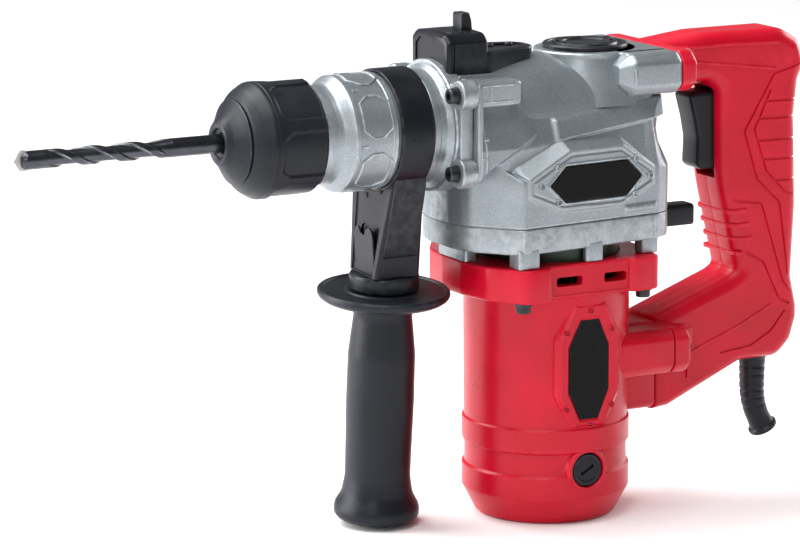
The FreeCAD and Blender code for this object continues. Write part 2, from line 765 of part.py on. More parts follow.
def make_gear_housing():
    lower = slab("XY_Plane", mirrored(plan_points("housing_front")), "housing_floor", "block_top")
    slope = loft("XY_Plane", mirrored(plan_points("housing_front")), mirrored(crown_plan()),
                 "block_top", "slope_top")
    crown = cylinder("crown_radius", "crown_rear - housing_front", ("housing_front", "0", "0"), "x")
    shoulders = box(("housing_front", "-shoulder_side", "shoulder_floor"),
                    ("shoulder_end", "shoulder_side", "plate_top"))
    face = box(("housing_front", "-plate_side", "block_top"), ("plate_end", "plate_side", "plate_top"))
    bosses = [
        cylinder("boss_radius", "boss_end - boss_front",
            ("boss_front", side + "boss_side", "boss_height"), "x")
        for side in ("", "-")]
    plate_top = "boss_height + boss_radius"
    arm_plate = box(("boss_front", "-boss_side", plate_top + " - arm_plate_thickness"),
                    ("boss_end - 1", "boss_side", plate_top))
    collar = cylinder("grease_collar_radius", "grease_seat", (crank_axis, "0", "0"))
    rear_wall = box(("crown_rear - 8", "-crown_side + 6", "slope_top - 10"),
                    ("crown_rear", "crown_side - 6", plate_top + " - arm_plate_thickness"))
    frames = [
        on_gear_wall(gear_badge_points("badge_margin"), "badge_frame_depth", "badge_proud", side)
        for side in (1, -1)]
    outside = fuse([lower, slope, crown, shoulders, face, arm_plate, collar, rear_wall] + bosses + frames)

    line_room = cylinder("cavity_radius", "cavity_rear - %s - 2" % bearing_end,
        (bearing_end + " + 2", "0", "0"), "x")
    seat = cylinder("rear_bearing_radius + seat_gap", bearing_end + " - housing_front + 1",
                    ("housing_front - 1", "0", "0"), "x")
    spindle_room = cylinder("spindle_radius + free_gap * 2", "6", (bearing_end + " - 1", "0", "0"), "x")
    web_top = "crank_web_floor + crank_web_height"
    rooms = [
        box(("cavity_front", "-cavity_side", "housing_floor - 1"),
            ("cavity_rear", "cavity_side", "counter_web_floor")),
        box(("cavity_front", "-cavity_side", "counter_web_floor - 1"),
            (counter_axis + " - 12", "cavity_side", "cavity_top")),
        box((counter_axis + " - 13", "-cavity_side", "counter_web_floor + counter_web_height"),
            (counter_axis + " + 12", "cavity_side", "cavity_top")),
        box((counter_axis + " + 12 - 1", "-cavity_side", "counter_web_floor - 1"),
            ("cavity_rear", "cavity_side", "crank_web_floor")),
        box((counter_axis + " + 12 - 1", "-cavity_side", "crank_web_floor - 1"),
            (crank_axis + " - 17", "cavity_side", "cavity_top")),
        box((crank_axis + " - 18", "-cavity_side", web_top), ("cavity_rear", "cavity_side", "cavity_top")),
        cylinder("crank_bearing_radius + seat_gap", "crank_web_height + 2",
                 (crank_axis, "0", "crank_web_floor - 1")),
        cylinder("counter_bearing_radius + seat_gap", "counter_web_height + 2",
                 (counter_axis, "0", "counter_web_floor - 1")),
        cylinder("grease_bore", "grease_seat", (crank_axis, "0", "cavity_radius / 2")),
        line_room, seat, spindle_room]
    rooms += [
        on_gear_wall(gear_badge_points("seat_gap"), "(badge_thickness - badge_proud)", "badge_thickness",
            side)
        for side in (1, -1)]
    screw_depth = "barrel_screw_length - (flange_end - flange_front) + 2"
    rooms += [
        cylinder("barrel_screw_radius + seat_gap", screw_depth, ("flange_end - 1", side, height), "x")
        for side, height in lug_places()]
    rooms += [
        cylinder("bolt_radius + seat_gap", "upper_bolt_length - collar_length + 2",
                 ("boss_end - upper_bolt_length + collar_length - 1", side + "boss_side", "boss_height"),
                 "x")
        for side in ("", "-")]
    rooms += [
        cylinder("motor_screw_radius + seat_gap", "12", (along, side, "housing_floor - 1"))
        for along, side in motor_screw_places()]
    keep("gear_housing", cut(outside, rooms))

    cap_top = "grease_seat + grease_cap_height"
    keep("grease_cap", turned("Z", [
        ("0", "grease_seat - grease_plug_depth"),
        ("grease_bore - seat_gap", "grease_seat - grease_plug_depth"),
        ("grease_bore - seat_gap", "grease_seat"), ("grease_cap_radius", "grease_seat"),
        ("grease_cap_radius", cap_top + " - 1"), ("grease_cap_radius - 1", cap_top),
        ("0", cap_top)], (crank_axis, "0", "0")))


def motor_screw_places():
    return [
        ("motor_screw_" + end, side + "motor_screw_%s_side" % end)
        for end in ("front", "rear") for side in ("", "-")]


# ---------------------------------------------------------------- gear cover
def make_gear_cover():
    plate = slab("XY_Plane", mirrored(plan_points("housing_front")), "cover_floor", "housing_floor")
    legs = []
    for low, high in (
            (("ring_corner_front - 3", "ring_side - 8"), ("ring_corner_end", "corner_side - 1")),
            (("motor_axis - 2", "ring_side - 5"), ("motor_axis + 9", "ring_side - 0.5")),
            (("ring_rear_front + 12", "rear_corner_side - 8"), ("ring_rear - 1", "rear_corner_side"))):
        for side in (1, -1):
            ends = (low[1], high[1]) if side > 0 else ("-(%s)" % high[1], "-(%s)" % low[1])
            legs.append(box((low[0], ends[0], "leg_floor"), (high[0], ends[1], "cover_floor")))
    legs.append(box(("ring_front + 2", "-16", "leg_floor"), ("ring_front + 8", "16", "cover_floor")))
    bearing_top = "cover_floor + motor_bearing_width"
    holes = [
        cylinder("motor_bearing_radius + seat_gap", "motor_bearing_width + 1",
                 ("motor_axis", "0", "cover_floor - 1")),
        cylinder("shaft_hole", "housing_floor - (" + bearing_top + ") + 2",
                 ("motor_axis", "0", bearing_top + " - 1")),
        cylinder("lower_bearing_radius + seat_gap", "housing_floor - shaft_foot + 1",
                 (crank_axis, "0", "shaft_foot")),
        cylinder("counter_bearing_radius + seat_gap", "housing_floor - shaft_foot + 1",
                 (counter_axis, "0", "shaft_foot"))]
    holes += [
        cylinder("motor_screw_radius + seat_gap", "housing_floor - leg_floor + 2",
            (along, side, "leg_floor - 1"))
        for along, side in motor_screw_places()]
    holes.append(cylinder("lever_pin_radius + run_gap", "lever_pin_height + 1",
                          ("lever_pivot", "lever_side", "lever_height")))
    holes.append(box(("lever_pivot - 8", "lever_side - lever_slot_half", "cover_floor - 1"),
                     ("housing_rear + 1", "lever_side + lever_slot_half", "lever_height + free_gap")))
    keep("gear_cover", cut(fuse([plate] + legs), holes))


def bearing(axis, floor, width, inner, outer):
    return turned("Z", [
        (inner + " + run_gap", floor), (outer, floor), (outer, floor + " + " + width),
        (inner + " + run_gap", floor + " + " + width)], (axis, "0", "0"))


def make_shaft_bearings():
    keep("shaft_bearings", group([
        bearing(crank_axis, "crank_web_floor + 1", "shaft_bearing_width", "crank_shaft_radius",
                "crank_bearing_radius"),
        bearing(crank_axis, "shaft_foot", "shaft_bearing_width", "crank_shaft_radius",
                "lower_bearing_radius"),
        bearing(counter_axis, "counter_web_floor", "shaft_bearing_width", "counter_shaft_radius",
                "counter_bearing_radius"),
        bearing(counter_axis, "shaft_foot", "shaft_bearing_width", "counter_shaft_radius",
                "counter_bearing_radius"),
        bearing("motor_axis", "cover_floor", "motor_bearing_width", "armature_shaft_radius",
                "motor_bearing_radius"),
        bearing("motor_axis", "low_bearing_top - low_bearing_width", "low_bearing_width",
                "low_journal_radius", "low_bearing_radius")]))


# ---------------------------------------------------------------- crank and countershaft
def make_crank():
    shaft = cylinder("crank_shaft_radius", "crank_disc_floor - shaft_foot - free_gap",
                     (crank_axis, "0", "shaft_foot + free_gap"))
    disc = cylinder("crank_disc_radius", "crank_disc_top - crank_disc_floor",
        (crank_axis, "0", "crank_disc_floor"))
    keep("crank_shaft", fuse([shaft, disc]))
    wheel = spur_gear("crank_teeth", "-wheel_shift", "crank_shaft_radius + seat_gap")
    half_pitch = 180 / size("crank_teeth")
    keep("crank_gear", place(shape(wheel), (crank_axis, "0", "gear_floor"), "z", half_pitch))


def make_countershaft():
    shaft = cylinder("counter_shaft_radius", "-shaft_foot - free_gap - " + bevel_radius,
                     (counter_axis, "0", "shaft_foot + free_gap"))
    pinion = shape(bevel_gear("bevel_pinion_teeth", "bevel_gear_teeth"))
    keep("countershaft", fuse([shaft, place(pinion, (counter_axis, "0", "0"))]))
    wheel = spur_gear("counter_teeth", "-wheel_shift", "counter_shaft_radius + seat_gap")
    keep("counter_gear", place(shape(wheel), (counter_axis, "0", "gear_floor")))


# ---------------------------------------------------------------- hammer mechanism
def make_hammer():
    wrist = "(piston_front + wrist_setback)"
    pin_place = "(" + crank_axis + " - crank_throw)"
    piston_end = "(piston_front + piston_length)"
    blank = turned("X", [
        ("piston_front", "0"), ("piston_front", "cylinder_radius - run_gap"),
        ("piston_ring_place", "cylinder_radius - run_gap"), ("piston_ring_place", "cylinder_radius - 2"),
        ("piston_ring_place + piston_ring_width", "cylinder_radius - 2"),
        ("piston_ring_place + piston_ring_width", "cylinder_radius - run_gap"),
        (piston_end, "cylinder_radius - run_gap"), (piston_end, "piston_socket_radius"),
        ("piston_front + piston_face", "piston_socket_radius"), ("piston_front + piston_face", "0")])
    pin_hole = cylinder("wrist_radius + seat_gap", "4 * cylinder_radius",
        (wrist, "-2 * cylinder_radius", "0"), "y")
    keep("piston", cut(blank, [pin_hole]))
    keep("piston_ring", turned("X", [
        ("piston_ring_place + 0.1", "cylinder_radius - 1.9"),
        ("piston_ring_place + 0.1", "cylinder_radius - run_gap"),
        ("piston_ring_place + piston_ring_width - 0.1", "cylinder_radius - run_gap"),
        ("piston_ring_place + piston_ring_width - 0.1", "cylinder_radius - 1.9")]))
    wrist_pin = cylinder("wrist_radius", "2 * cylinder_radius - 3",
        (wrist, "-cylinder_radius + 1.5", "0"), "y")
    eyes = [
        cylinder("rod_width", "rod_height", (wrist, "-rod_height / 2", "0"), "y"),
        cylinder("rod_eye_radius", "rod_height", (pin_place, "0", "-rod_height / 2"))]
    beam = box((wrist, "-rod_width / 2 + 0.5", "-rod_height / 2 + 1"),
               (pin_place, "rod_width / 2 - 0.5", "rod_height / 2 - 1"))
    holes = [
        cylinder("wrist_radius + run_gap", "rod_height + 2", (wrist, "-rod_height / 2 - 1", "0"), "y"),
        cylinder("crank_pin_radius + run_gap", "rod_height + 2", (pin_place, "0", "-rod_height / 2 - 1"))]
    keep("connecting_rod", cut(fuse(eyes + [beam]), holes))
    crank_pin = turned("Z", [
        ("0", "crank_disc_top + free_gap"), ("crank_pin_radius", "crank_disc_top + free_gap"),
        ("crank_pin_radius", "rod_height / 2"), ("crank_pin_radius + 2", "rod_height / 2"),
        ("crank_pin_radius + 2", "rod_height / 2 + 2"), ("0", "rod_height / 2 + 2")], (pin_place, "0", "0"))
    keep("rod_pins", group([wrist_pin, crank_pin]))

    ring_end = "striker_ring_place + piston_ring_width"
    striker_end = "striker_front + striker_length"
    striker_radius = "cylinder_radius - run_gap"
    keep("striker", turned("X", [
        ("striker_front", "0"), ("striker_front", "striker_nose_radius"),
        ("striker_front + striker_nose", "striker_nose_radius"),
        ("striker_front + striker_nose", striker_radius), ("striker_ring_place", striker_radius),
        ("striker_ring_place", "cylinder_radius - 2"), (ring_end, "cylinder_radius - 2"),
        (ring_end, striker_radius), (striker_end, striker_radius), (striker_end, "0")]))
    keep("striker_ring", turned("X", [
        ("striker_ring_place + 0.1", "cylinder_radius - 1.9"), ("striker_ring_place + 0.1", striker_radius),
        (ring_end + " - 0.1", striker_radius), (ring_end + " - 0.1", "cylinder_radius - 1.9")]))
    keep("impact_bolt", turned("X", [
        ("impact_front", "0"), ("impact_front", "impact_shank_radius"),
        ("impact_shoulder", "impact_shank_radius"), ("impact_shoulder", "chamber_radius - run_gap"),
        ("impact_body_end", "chamber_radius - run_gap"), ("impact_body_end", "impact_stem_radius"),
        ("impact_end", "impact_stem_radius"), ("impact_end", "0")]))


# ---------------------------------------------------------------- motor
def make_motor_housing():
    cup = turned("Z", [
        ("0", "leg_floor"), ("cup_radius + 0.6", "leg_floor"), ("cup_radius + 0.6", "ring_floor"),
        ("cup_radius", "band_top"), ("cup_radius + band_proud", "band_top"),
        ("cup_radius + band_proud", "band_floor"), ("cup_radius - 0.4", "band_floor - 1"),
        ("cup_radius - 0.4", "cup_step"), ("cup_radius + band_proud", "cup_step - 1"),
        ("cup_radius + band_proud", "cup_chamfer_top"), ("cup_floor_radius", "cup_floor"),
        ("0", "cup_floor")], ("motor_axis", "0", "0"))
    ring = slab("XY_Plane", mirrored([
        ("ring_front", "-10"), ("ring_front + 4", "-32"), ("ring_corner_front", "-ring_corner_side"),
        ("ring_corner_end", "-ring_corner_side"), ("ring_corner_end + 3", "-ring_side"),
        ("ring_rear_front - 3", "-ring_side"), ("ring_rear_front", "-ring_rear_side"),
        ("ring_rear - 3", "-ring_rear_side + 2"), ("ring_rear", "-30"), ("ring_rear + 4", "-10")]),
        "ring_floor", "leg_floor")
    bosses = []
    for side in (1, -1):
        near = "%d * arm_boss_side - arm_boss_half" % side
        far = "%d * arm_boss_side + arm_boss_half" % side
        bosses.append(box(("arm_boss_front", near, "arm_boss_floor"),
            ("arm_boss_end", far, "arm_boss_top")))
    collars = cylinder("brush_collar_radius", "2 * brush_collar_end",
                       ("motor_axis", "-brush_collar_end", "brush_height"), "y")
    frames = [
        on_motor_wall(motor_badge_points("badge_margin"), "badge_frame_depth", "badge_proud", side)
        for side in (1, -1)]
    outside = fuse([cup, ring, collars] + bosses + frames)

    seat_floor = "low_bearing_top - low_bearing_width"
    seat = "low_bearing_radius + seat_gap"
    room = turned("Z", [
        ("0", seat_floor), (seat, seat_floor), (seat, "low_bearing_top"),
        (seat + " + low_seat_wall", "low_bearing_top"), (seat + " + low_seat_wall", "cup_inside_floor"),
        ("cup_floor_radius - 4", "cup_inside_floor"), ("cup_bore", "cup_chamfer_top + 2"),
        ("cup_bore", "leg_floor + 1"), ("0", "leg_floor + 1")], ("motor_axis", "0", "0"))
    rooms = [room] + [
        on_motor_wall(motor_badge_points("seat_gap"), "(badge_thickness - badge_proud)",
            "badge_thickness", side)
        for side in (1, -1)]
    for side in (1, -1):
        cap_room = ("motor_axis", "brush_cap_inner" if side > 0 else "-brush_cap_end - 2", "brush_height")
        rooms.append(cylinder("brush_cap_radius + seat_gap", "brush_cap_end - brush_cap_inner + 2",
            cap_room, "y"))
    rooms.append(cylinder("brush_tube_radius + seat_gap", "2 * brush_cap_end",
                          ("motor_axis", "-brush_cap_end", "brush_height"), "y"))
    rooms += [
        cylinder("bolt_radius + seat_gap", "lower_bolt_length - low_collar_length + 1",
                 ("arm_boss_end - lower_bolt_length + low_collar_length", side + "arm_boss_side",
                  "(arm_boss_top + arm_boss_floor) / 2"), "x")
        for side in ("", "-")]
    rooms += [
        cylinder("motor_screw_radius + seat_gap", "leg_floor - ring_floor + 2",
            (along, side, "ring_floor - 1"))
        for along, side in motor_screw_places()]
    keep("motor_housing", cut(outside, rooms))

    screws = []
    washers = []
    for along, side in motor_screw_places():
        floor = "ring_floor - washer_height"
        head = cylinder("motor_screw_head", "motor_screw_head_height",
                        (along, side, floor + " - motor_screw_head_height"))
        shaft = cylinder("motor_screw_radius", "housing_floor + 9 - (" + floor + ")", (along, side, floor))
        socket = cylinder("motor_screw_head / 2", "motor_screw_head_height / 2",
                          (along, side, floor + " - motor_screw_head_height"))
        screws.append(cut(fuse([head, shaft]), [socket]))
        washers.append(cut(cylinder("washer_radius", "washer_height", (along, side, floor)),
                           [cylinder("motor_screw_radius + seat_gap", "washer_height + 2",
                                     (along, side, floor + " - 1"))]))
    keep("motor_screws", group(screws + washers))


def make_armature():
    at = ("motor_axis", "0", "0")
    foot = "low_bearing_top - low_bearing_width + free_gap"
    shaft = turned("Z", [
        ("0", foot), ("low_journal_radius", foot), ("low_journal_radius", "low_bearing_top + 1"),
        ("armature_shaft_radius", "low_bearing_top + 1"), ("armature_shaft_radius", "armature_top"),
        ("0", "armature_top")], at)
    pinion = spur_gear("pinion_teeth", "pinion_shift", None)
    stub_length = size("gear_floor - armature_top")
    stub = Part.makeCylinder(size("pinion_stub_radius"), stub_length, FreeCAD.Vector(0, 0, -stub_length))
    pinion = place(shape(pinion.fuse(stub)), ("motor_axis", "0", "gear_floor"))
    keep("armature_shaft", fuse([shaft, pinion]))
    bore = "armature_shaft_radius + seat_gap"
    keep("armature_core", turned("Z", [
        (bore, "core_floor"), ("core_radius", "core_floor"), ("core_radius", "core_top"),
        (bore, "core_top")], at))
    windings = []
    for near, far in (("core_top", "core_top + winding_length"),
        ("core_floor", "core_floor - winding_length")):
        windings.append(turned("Z", [
            ("winding_core", near), ("winding_radius", near), ("winding_radius - 4", far),
            ("winding_core", far)], at))
    keep("armature_windings", group(windings))
    keep("commutator", turned("Z", [
        (bore, "commutator_top - commutator_length"),
        ("commutator_radius", "commutator_top - commutator_length"),
        ("commutator_radius", "commutator_top"), (bore, "commutator_top")], at))

    fan_floor = "fan_top - fan_height"
    disc = turned("Z", [
        (bore, fan_floor), ("fan_hub_radius", fan_floor), ("fan_hub_radius", "fan_top - fan_plate"),
        ("fan_radius", "fan_top - fan_plate"), ("fan_radius", "fan_top"), (bore, "fan_top")], at)
    blades = []
    for index in range(int(size("fan_blades"))):
        blade = box(("fan_hub_radius - 1", "-blade_thickness / 2", fan_floor),
                    ("fan_radius - 1", "blade_thickness / 2", "fan_top - fan_plate"))
        blades.append(spun(blade, index * 360 / size("fan_blades")))
    keep("cooling_fan", fuse([disc] + blades))


def spun(item, degrees):
    """Turn a piece drawn about the motor's axis: it is moved there after it is turned."""
    carrier = doc.addObject("Part::Compound", "Spun")
    carrier.Links = [item]
    carrier.Placement = FreeCAD.Placement(FreeCAD.Vector(),
        FreeCAD.Rotation(FreeCAD.Vector(0, 0, 1), degrees))
    carrier.setExpression("Placement.Base.x", spell("motor_axis"))
    return carrier


def make_stator():
    at = ("motor_axis", "0", "0")
    keep("stator_core", turned("Z", [
        ("stator_bore", "core_floor"), ("stator_radius", "core_floor"), ("stator_radius", "core_top"),
        ("stator_bore", "core_top")], at))
    coils = []
    for near, far in (("core_top", "core_top + coil_length"), ("core_floor", "core_floor - coil_length")):
        ring = turned("Z",
            [("coil_inner", near), ("coil_outer", near), ("coil_outer", far), ("coil_inner", far)], at)
        low, high = (near, far) if "top" in near else (far, near)
        gap = box(("motor_axis - 60", "-coil_split / 2", low + " - 1"),
            ("motor_axis + 60", "coil_split / 2", high + " + 1"))
        coils.append(cut(ring, [gap]))
    keep("field_coils", group(coils))
    keep("fan_baffle", turned("Z", [
        ("baffle_bore", "leg_floor - 2 - baffle_thickness"),
        ("baffle_radius", "leg_floor - 2 - baffle_thickness"),
        ("baffle_radius", "cover_floor"), ("baffle_radius - baffle_thickness", "cover_floor"),
        ("baffle_radius - baffle_thickness", "leg_floor - 2"), ("baffle_bore", "leg_floor - 2")], at))

    tubes = []
    brushes = []
    caps = []
    for side in (1, -1):
        start = "brush_tube_inner" if side > 0 else "-brush_cap_inner"
        tube = cylinder("brush_tube_radius", "brush_cap_inner - brush_tube_inner",
                        ("motor_axis", start, "brush_height"), "y")
        half = "(brush_width / 2 + seat_gap)"
        channel = box(("motor_axis - " + half, "-brush_cap_end", "brush_height - " + half),
                      ("motor_axis + " + half, "brush_cap_end", "brush_height + " + half))
        tubes.append(cut(tube, [channel]))
        near = "commutator_radius + free_gap"
        ends = (near, near + " + brush_length") if side > 0 else ("-(%s) - brush_length" % near,
            "-(%s)" % near)
        brushes.append(box(("motor_axis - brush_width / 2", ends[0], "brush_height - brush_width / 2"),
                           ("motor_axis + brush_width / 2", ends[1], "brush_height + brush_width / 2")))
        start = "brush_cap_inner" if side > 0 else "-brush_cap_end"
        cap = cylinder("brush_cap_radius", "brush_cap_end - brush_cap_inner",
            ("motor_axis", start, "brush_height"), "y")
        slot_start = "brush_cap_end - brush_slot_depth" if side > 0 else "-brush_cap_end - 1"
        slot_end = "brush_cap_end + 1" if side > 0 else "-brush_cap_end + brush_slot_depth"
        slot = box(("motor_axis - brush_slot_width / 2", slot_start,
            "brush_height - brush_cap_radius * 0.6"),
                   ("motor_axis + brush_slot_width / 2", slot_end, "brush_height + brush_cap_radius * 0.6"))
        caps.append(cut(cap, [slot]))
    keep("brush_holders", group(tubes))
    keep("carbon_brushes", group(brushes))
    keep("brush_caps", group(caps))


# ---------------------------------------------------------------- rear handle
def handle_points():
    """The D handle seen from the side, from the upper collar round the grip and back."""
    return [
        ("boss_end", "boss_height + boss_radius"), ("boss_end + 34", "arm_top"),
        ("grip_back - 16", "arm_top"), ("grip_back - 4", "arm_top - 7"), ("grip_back", "arm_top - 20.5"),
        ("grip_back - 4", "arm_top - 30"), ("grip_back - 6", "arm_top - 50"),
        ("grip_back - 4", "arm_top - 100"), ("grip_back - 6", "grip_low - 5"),
        ("grip_back - 2", "heel_height + 3"), ("grip_back - 2", "heel_height - 4"),
        ("grip_back - 6", "heel_height - 17"), ("grip_back - 15", "handle_bottom"),
        ("grip_back - 40", "handle_bottom"), ("arm_boss_end + 11", "low_arm_bottom + 1"),
        ("arm_boss_end", "low_arm_bottom"), ("arm_boss_end", "low_arm_top"),
        ("grip_front + 7", "grip_low - 1"), ("grip_front + 12", "grip_low + 2"),
        ("grip_front + 1", "trigger_bottom - 15"), ("grip_front - 1", "trigger_bottom - 4"),
        ("grip_front - 2", "trigger_top"), ("grip_front - 8", "arm_under"), ("boss_end", "arm_under")]


def make_handle_shell(side):
    """One half of the handle; side is 1 for +Y and -1 for -Y."""
    near, far = ("0", "arm_half_width") if side > 0 else ("-arm_half_width", "0")
    outside = [slab("XZ_Plane", handle_points(), near, far)]
    inner_far = "arm_half_width - handle_wall"
    inside = []
    for low, high in (
            (("boss_end + 14", "arm_under + handle_wall"), ("grip_back - 14", "arm_top - 5 - handle_wall")),
            (("grip_front + 6", "grip_low + 4"), ("grip_back - 6 - handle_wall", "arm_top - 10")),
            (("grip_front + 16", "handle_bottom + handle_wall"),
                ("grip_back - 10 - handle_wall", "grip_low + 5")),
            (("arm_boss_end + 14", "low_arm_top - 36"), ("grip_front + 17", "low_arm_top - 8"))):
        ends = ("-1", inner_far) if side > 0 else ("-(%s)" % inner_far, "1")
        inside.append(box((low[0], ends[0], low[1]), (high[0], ends[1], high[1])))
    slot = "trigger_half + free_gap"
    ends = ("-1", slot) if side > 0 else ("-(%s)" % slot, "1")
    inside.append(box(("grip_front - 10", ends[0], "trigger_bottom - 6"),
                      ("grip_front + 8", ends[1], "trigger_top + 1.5")))
    seat = cylinder("boot_flange + seat_gap", "4 + 2 * seat_gap",
        ("boot_place", "0", "handle_bottom + handle_wall - seat_gap"))
    neck = cylinder("boot_radius + seat_gap", "12", ("boot_place", "0", "handle_bottom - 4"))
    inside += [seat, neck]

    outer = "%d * (boss_side + boss_radius)" % side
    arm = "%d * arm_half_width" % side
    flat = "%d * (arm_half_width + 5)" % side
    wings = [slab("XY_Plane", [
        ("boss_end", arm), ("boss_end", outer), ("boss_end + collar_length", outer),
        ("boss_end + collar_length", flat), ("boss_end + collar_length + taper_length", arm)],
        "arm_under", "boss_height + boss_radius")]
    low_outer = "%d * (arm_boss_side + arm_boss_half)" % side
    low_flat = "%d * (arm_half_width + 3)" % side
    wings.append(slab("XY_Plane", [
        ("arm_boss_end", arm), ("arm_boss_end", low_outer), ("arm_boss_end + low_collar_length", low_outer),
        ("arm_boss_end + low_collar_length", low_flat),
        ("arm_boss_end + low_collar_length + taper_length", arm)], "arm_boss_floor", "arm_boss_top"))
    middle = "(arm_boss_top + arm_boss_floor) / 2"
    holes = [
        cylinder("bolt_radius + seat_gap", "collar_length + 2",
                 ("boss_end - 1", "%d * boss_side" % side, "boss_height"), "x"),
        cylinder("bolt_radius + seat_gap", "low_collar_length + 2",
                 ("arm_boss_end - 1", "%d * arm_boss_side" % side, middle), "x")]
    shell = fuse([cut(outside[0], inside)] + wings)
    screw_holes = [
        cylinder("1.6", "2 * arm_half_width", (along, "-arm_half_width", up), "y") for along,
        up in screw_places()]
    heads = [
        cylinder("3.3", "4", (along, "arm_half_width - 3", up), "y") for along, up in screw_places()]
    tools = holes + screw_holes + (heads if side > 0 else [])
    posts = [
        cylinder("4", "arm_half_width", (along, near, up), "y") for along, up in screw_places()]
    return cut(fuse([shell] + posts), tools)


def screw_places():
    return [
        ("boss_end + 30", "arm_top - 8"), ("grip_back - 16", "arm_top - 14"),
        ("grip_back - 22", "grip_low + 8"), ("arm_boss_end + 24", "low_arm_top - 22")]


def make_handle():
    keep("handle_left_shell", make_handle_shell(-1))
    keep("handle_right_shell", make_handle_shell(1))
    screws = []
    for along, up in screw_places():
        head = cylinder("3", "2", (along, "arm_half_width - 3", up), "y")
        shaft = cylinder("1.5", "arm_half_width + 9", (along, "-12", up), "y")
        screws.append(fuse([head, shaft]))
    keep("handle_screws", group(screws))

    bolts = []
    middle = "(arm_boss_top + arm_boss_floor) / 2"
    for side in ("", "-"):
        for back, across, up, length in (
                ("boss_end + collar_length", "boss_side", "boss_height", "upper_bolt_length"),
                ("arm_boss_end + low_collar_length", "arm_boss_side", middle, "lower_bolt_length")):
            head = cylinder("bolt_head_radius", "bolt_head_height", (back, side + across, up), "x")
            shaft = cylinder("bolt_radius", length, (back + " - " + length, side + across, up), "x")
            socket = cylinder("bolt_head_radius / 2", "bolt_head_height / 2",
                              (back + " + bolt_head_height / 2", side + across, up), "x")
            bolts.append(cut(fuse([head, shaft]), [socket]))
    keep("handle_bolts", group(bolts))


def make_switch():
    half = "(arm_half_width - handle_wall)"
    keep("switch_body", box(("switch_front", "-" + half, "switch_floor"),
                            ("switch_front + switch_depth", half, "switch_top")))
    keep("trigger", slab("XZ_Plane", [
        ("trigger_front", "trigger_top"), ("trigger_front + 7", "trigger_top - 23"),
        ("trigger_front + 6", "trigger_bottom"), ("trigger_rear", "trigger_bottom - 3"),
        ("trigger_rear", "trigger_top")], "-trigger_half", "trigger_half"))
    turn = math.radians(size("boot_lean"))
    reach = size("boot_bend")
    corner = FreeCAD.Vector(0, 0, -size("boot_drop"))
    middle_turn = turn / 2

    def on_arc(angle):
        return corner + FreeCAD.Vector(reach * (1 - math.cos(angle)), 0, -reach * math.sin(angle))

    heading = FreeCAD.Vector(math.sin(turn), 0, -math.cos(turn))
    top = FreeCAD.Vector(0, 0, size("handle_wall") + 3)
    end = on_arc(turn) + heading * size("boot_tail")
    path = Part.Wire([
        Part.LineSegment(top, corner).toShape(),
        Part.Arc(corner, on_arc(middle_turn), on_arc(turn)).toShape(),
        Part.LineSegment(on_arc(turn), end).toShape()])

    def tube(radius):
        ring = Part.Wire([Part.makeCircle(size(radius), top, FreeCAD.Vector(0, 0, -1))])
        return path.makePipeShell([ring], True, False)

    flange = Part.makeCylinder(size("boot_flange"), 4, FreeCAD.Vector(0, 0, size("handle_wall")))
    rim = Part.makeCylinder(size("boot_rim_radius"), size("boot_rim_height"),
        end - heading * size("boot_rim_height"), heading)
    boot = tube("boot_radius").fuse([flange, rim]).cut(tube("boot_bore"))
    bore = Part.makeCylinder(size("boot_bore"), 4, end - heading, heading)
    top_bore = Part.makeCylinder(size("boot_bore"), 12, FreeCAD.Vector(0, 0, size("handle_wall") - 4))
    keep("cable_boot", place(shape(boot.cut(bore).cut(top_bore)), ("boot_place", "0", "handle_bottom")))


# ---------------------------------------------------------------- selectors
def make_selectors():
    block = slab("YZ_Plane", [
        ("-selector_half", "selector_floor"), ("-selector_half", "selector_top - 5"),
        ("-selector_half + 9", "selector_top"), ("selector_half - 9", "selector_top"),
        ("selector_half", "selector_top - 5"), ("selector_half", "selector_floor")],
        "selector_front", "selector_block_end")
    tail = slab("XY_Plane", mirrored([
        ("selector_block_end", "-selector_half"), ("selector_end - 14", "-selector_tail_half"),
        ("selector_end - 3", "-selector_tail_half + 4"), ("selector_end", "-selector_tail_half + 9")]),
        "selector_floor", "selector_tail_top")
    seat = cylinder("crown_radius + seat_gap", "selector_end - selector_front + 4",
                    ("selector_front - 2", "0", "0"), "x")
    flange_seat = cylinder("flange_radius + seat_gap", "flange_end - selector_front + 2",
                           ("selector_front - 2", "0", "0"), "x")
    slot = box(("tab_front - free_gap", "-tab_half - free_gap", "tab_floor - free_gap"),
               ("selector_block_end + 1", "tab_half + free_gap", "selector_top + 1"))
    keep("selector_base", cut(fuse([block, tail]), [seat, flange_seat, slot]))
    keep("selector_tab", box(("tab_front", "-tab_half", "tab_floor"),
                             ("tab_front + tab_length", "tab_half", "tab_top")))
    screws = [
        cylinder("2.2", "1.6", ("selector_end - " + back, "0", "selector_tail_top")) for back in ("12",
            "24")]
    keep("selector_screws", group(screws))

    lever_low = "lever_height - lever_thickness"
    blade = box(("lever_pivot - 5", "lever_side - lever_half", lever_low),
                ("lever_pivot + lever_reach", "lever_side + lever_half", "lever_height"))
    pin = cylinder("lever_pin_radius", "lever_pin_height", ("lever_pivot", "lever_side", "lever_height"))
    keep("chisel_lever", fuse([blade, pin]))


